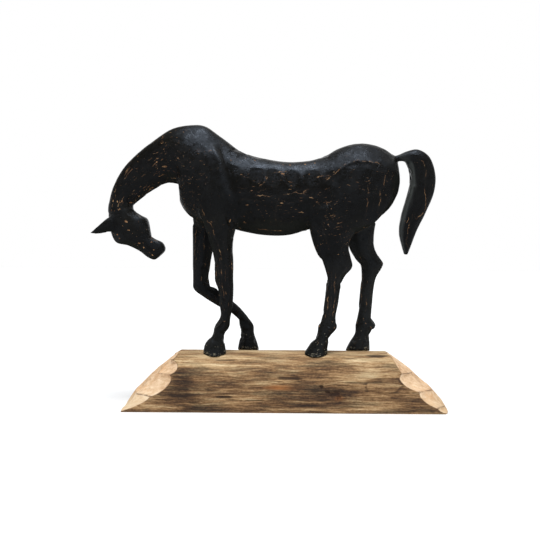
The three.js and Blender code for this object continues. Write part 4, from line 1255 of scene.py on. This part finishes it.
    # rubbed lines: how strongly each one shows, and the rubbed arrises of the cuts
    legs = np.isin(lab, (4, 5, 6, 7))
    on1 = smoothstep(0.0, 5.0, seam_in) * (legs | (lab == 0)) * 0.44
    on1 *= np.where(crease_d < 9, 0.75, 1.0) * smoothstep(3, 9, np.abs(y))
    on2 = smoothstep(0.0, 4.0, seam2_in) * 0.46 * smoothstep(10, 16, np.abs(y)) * np.isin(lab, (0, 4, 6))
    on2 = np.maximum(on2, (croup_d < 8) * 0.60 * (0.45 + 0.55 * smoothstep(0.15, 0.6, croup_s)) * fade(croup_s, 0.05, 0.02) * smoothstep(15, 24, np.abs(y)) * np.isin(lab, (0, 6)))
    on2 = np.where(lab == 8, np.maximum((tail_d < 8) * 0.42, (tail2_d < 8) * 0.36) * smoothstep(3, 6, np.abs(y)), on2)
    seam_at = np.where(np.abs(seam_d) < np.abs(seam2_d), seam_d, seam2_d)
    seam_at = np.where(lab == 8, np.where(np.minimum(tail_d, tail2_d) < 8, seam2_d, 9.0), seam_at)
    seam_on = np.where(np.abs(seam_d) < np.abs(seam2_d), on1, on2)
    aside = smoothstep(0.15, 0.45, np.abs(n[:, 1]))      # lines and spots belong to the sides
    seam_on = np.where(lab == 8, on2, seam_on) * sole * aside
    discs = np.exp(-((z - 317) / 17) ** 2) * (x > -85) * (x < 70) * (lab == 0)
    leg = legs & (z < 225)
    mark = convex * (0.42 + 0.42 * discs + 0.22 * leg) * np.where(upper, 0.7, 1.0) * (1 - join)
    spot = np.zeros(len(p))
    for k, (sx, sz, a, b, turn) in enumerate(SPOTS + BODY_SPOTS):
        c, s = math.cos(math.radians(turn)), math.sin(math.radians(turn))
        dx, dz = x - sx, z - sz
        grow = 0.6 if k < len(SPOTS) else 0.4
        r = np.hypot((dx * c + dz * s) / (a * 0.45 + grow), (dz * c - dx * s) / (b * 0.45 + grow))
        where = np.isin(lab, (0, 1)) if k < len(SPOTS) else (lab != 1) & ((z > 235) | (np.abs(sz - z) < 9))
        strong = 1.4 if k < len(SPOTS) or sz < 140 else 1.15
        spot = np.maximum(spot, strong * smoothstep(1.3, 0.3, r) * (np.abs(y) > 4) * where)
    crown = (z > 330) * (x > -62) * (x < 70) * smoothstep(3, 8, np.abs(y))
    spot *= np.where(near, 1.0, 0.8) * np.maximum(aside, crown)
    hoof = smoothstep(112, 96, z) * np.isin(lab, (4, 5, 6, 7))
    over = log_round(y, z)
    hoof = hoof + smoothstep(7.0, 3.0, over) * np.isin(lab, (4, 5, 6, 7)) * 0.5
    nz = skin.normals()
    # faces turned down get duller paint and a lighter paint colour, which is painted light from below
    down = 0.55 * smoothstep(0.08, -0.14, nz[:, 2]) + 0.75 * smoothstep(-0.35, -0.80, nz[:, 2])
    dull_and_painted_light = np.maximum(down, 0.40 * groove)
    dull_and_painted_light += 0.75 * smoothstep(-137, -146, x) * (lab == 0) * smoothstep(0.15, 0.4, nz[:, 2])
    dull_and_painted_light += 0.75 * np.exp(-(((x + 216) / 8) ** 2 + ((z - 268) / 8) ** 2)) * (lab <= 1)
    dull_and_painted_light -= 0.6 * np.exp(-(((x + 225) / 6) ** 2 + ((z - 274) / 4) ** 2)) * (lab <= 1)
    dull_and_painted_light -= 1.2 * np.exp(-(((x + 203) / 8) ** 2 + ((z - 260) / 7) ** 2)) * (lab == 1)
    dull_and_painted_light -= 1.7 * np.exp(-(((x + 184) / 8) ** 2 + ((z - 231) / 6) ** 2)) * (lab == 1)
    for sx, sz, a, b, h in SHEEN:
        dull_and_painted_light -= h * np.exp(-((x - sx) / a) ** 2 - ((z - sz) / b) ** 2) * (lab == 0)
    dull_and_painted_light -= 0.40 * np.exp(-(((x + 118) / 13) ** 2 + ((z - 375) / 11) ** 2)) * (lab == 0)
    dull_and_painted_light += 0.40 * np.exp(-((z - 307) / 8) ** 2) * smoothstep(-84, -70, x) * smoothstep(66, 52, x) * (lab == 0)
    bowl = np.zeros(len(p))
    for cx, cz, _, a, b, dep, _ in CUTS[:6]:      # the big round cuts keep their thick paint
        r = np.hypot((x - cx) / (0.87 * a), (z - cz) / (0.97 * b))
        bowl = np.maximum(bowl, smoothstep(1.08, 0.86, r) * min(dep / 2.6, 1.0))
    dull_and_painted_light += 0.38 * bowl * (lab == 0)
    # painted light: the colour of the tail's left face, the lower hind legs and most hooves is lifted
    painted_light_lift = (lab == 8) * smoothstep(-0.12, -0.50, nz[:, 0]) * smoothstep(-0.1, 0.3, nz[:, 1] * -1 + 0.3)
    painted_light_lift = np.maximum(painted_light_lift, 0.13 * (lab == 7) * smoothstep(262, 245, z))
    painted_light_lift = np.maximum(painted_light_lift, 0.07 * (lab == 6) * smoothstep(215, 195, z))
    painted_light_lift = np.maximum(painted_light_lift, 0.09 * hoof * (lab != 5))
    gloss = np.maximum(swell * 0.8, (lab == 8) * smoothstep(-0.35, -0.75, nz[:, 0]) * 1.0)
    gloss = np.maximum(gloss, (lab == 1) * smoothstep(0.45, 0.8, nz[:, 0]) * 0.8)
    dull_and_painted_light = dull_and_painted_light - gloss
    dull_and_painted_light += 0.6 * legs * smoothstep(0.45, 0.8, np.abs(nz[:, 0]))
    dull_and_painted_light += 1.5 * (lab == 0) * smoothstep(136, 150, x) * smoothstep(0.35, 0.7, nz[:, 0]) * smoothstep(0.35, 0.0, nz[:, 2])
    faint = np.where((lab == 0) & (x < -146), 1.0, 0.72)
    faint[lab == 1] = 0.95
    faint[lab == 8] = 0.74
    faint[legs & (z < 230)] = 0.76
    faint[(lab == 0) & (z > 318) & (z < 332) & (x < 75)] = 0.95
    w = faint[:, None]
    for _ in range(3):
        w = skin.average(w)
    faint = w[:, 0]
    ob = build_object("horse_carved", skin, {
        "local": loc, "whole": whole, "high": high, "seam": seam_at, "seam_on": seam_on, "ridge": mark,
        "spot": spot, "hoof": hoof, "groove": groove, "dull_and_painted_light": dull_and_painted_light, "faint": faint, "painted_light_lift": painted_light_lift}, material)
    return ob, skin


paint = paint_material()
wood = log_material()
log_ob, log_skin = make_log(wood)
horse_ob, horse_skin = finish_horse(paint)
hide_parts("horse")
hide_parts("log_base")
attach(horse_ob, "root")
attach(log_ob, "root")

# --------------------------------------------------------- floor, light, camera

def floor_material():
    T = Tree("pale_floor")
    f = T.noise(T.scale(T.coords(), (3, 3, 3)), 1.0, 2.0, 0.5)
    T.put(T.bsdf.inputs["Base Color"], T.ramp(f, [(0.3, (0.90, 0.90, 0.90, 1)), (0.7, (0.92, 0.92, 0.92, 1))]))
    T.bsdf.inputs["Roughness"].default_value = 0.9
    T.bsdf.inputs["Specular IOR Level"].default_value = 0.1
    return T.mat


me = bpy.data.meshes.new("floor")
R = 8.0
me.from_pydata([(-R, -R, 0), (R, -R, 0), (R, R, 0), (-R, R, 0)], [], [(0, 1, 2, 3)])
me.materials.append(floor_material())
floor = bpy.data.objects.new("floor", me)
bpy.context.scene.collection.objects.link(floor)


sun = bpy.data.lights.new("soft_top", "SUN")
sun.energy = 3.3
sun.angle = math.radians(30)
sun.color = (0.97, 0.985, 1.0)
so = bpy.data.objects.new("soft_top", sun)
so.location = (0, 0, 2)
so.rotation_euler = Vector((0.03, -0.34, 1)).to_track_quat("Z", "Y").to_euler()
bpy.context.scene.collection.objects.link(so)

world = bpy.data.worlds.new("studio")
bpy.context.scene.world = world
world.use_nodes = True
wt = world.node_tree
wt.nodes.clear()
wo = wt.nodes.new("ShaderNodeOutputWorld")
b1 = wt.nodes.new("ShaderNodeBackground")
b1.inputs[0].default_value = (1, 1, 1, 1)
b1.inputs[1].default_value = 0.36
b2 = wt.nodes.new("ShaderNodeBackground")
b2.inputs[0].default_value = (1, 1, 1, 1)
b2.inputs[1].default_value = 1.0
lp = wt.nodes.new("ShaderNodeLightPath")
# the white backdrop behind the piece shows in the paint
direction = wt.nodes.new("ShaderNodeSeparateXYZ")
wt.links.new(wt.nodes.new("ShaderNodeTexCoord").outputs["Generated"], direction.inputs[0])
behind = wt.nodes.new("ShaderNodeMapRange")
behind.interpolation_type = "SMOOTHSTEP"
behind.inputs["From Min"].default_value = 0.0
behind.inputs["From Max"].default_value = 0.7
behind.inputs["To Max"].default_value = 0.9
raised = wt.nodes.new("ShaderNodeMapRange")
raised.interpolation_type = "SMOOTHSTEP"
raised.inputs["From Min"].default_value = -0.10
raised.inputs["From Max"].default_value = 0.15
wt.links.new(direction.outputs[2], raised.inputs["Value"])
both = wt.nodes.new("ShaderNodeMath")
both.operation = "MULTIPLY"
wt.links.new(raised.outputs[0], both.inputs[1])
wt.links.new(direction.outputs[1], behind.inputs["Value"])
glossy = wt.nodes.new("ShaderNodeMath")
glossy.operation = "MULTIPLY"
wt.links.new(lp.outputs["Is Glossy Ray"], glossy.inputs[0])
wt.links.new(behind.outputs[0], both.inputs[0])
wt.links.new(both.outputs[0], glossy.inputs[1])
seen = wt.nodes.new("ShaderNodeMath")
seen.operation = "MAXIMUM"
wt.links.new(lp.outputs["Is Camera Ray"], seen.inputs[0])
wt.links.new(glossy.outputs[0], seen.inputs[1])
mx = wt.nodes.new("ShaderNodeMixShader")
wt.links.new(seen.outputs[0], mx.inputs[0])
wt.links.new(b1.outputs[0], mx.inputs[1])
wt.links.new(b2.outputs[0], mx.inputs[2])
wt.links.new(mx.outputs[0], wo.inputs[0])

bpy.context.scene.view_settings.view_transform = "Standard"
bpy.context.scene.view_settings.look = "None"

CAM_DISTANCE = 1.5
CAM_HEIGHT = 0.2265
CAM_X = -0.0235
cam_data = bpy.data.cameras.new("camera")
cam_data.sensor_width = 36
cam_data.lens = 36 * CAM_DISTANCE / (540 * 0.0014)
cam = bpy.data.objects.new("camera", cam_data)
cam.location = (CAM_X, -CAM_DISTANCE, CAM_HEIGHT)
tilt = math.atan((270 - 245) * 0.0014 / CAM_DISTANCE)
roll = math.radians(0.42)
cam.rotation_mode = "QUATERNION"
from mathutils import Quaternion
cam.rotation_quaternion = Quaternion((1, 0, 0), math.pi / 2 - tilt) @ Quaternion((0, 0, 1), roll)
bpy.context.scene.collection.objects.link(cam)
bpy.context.scene.camera = cam
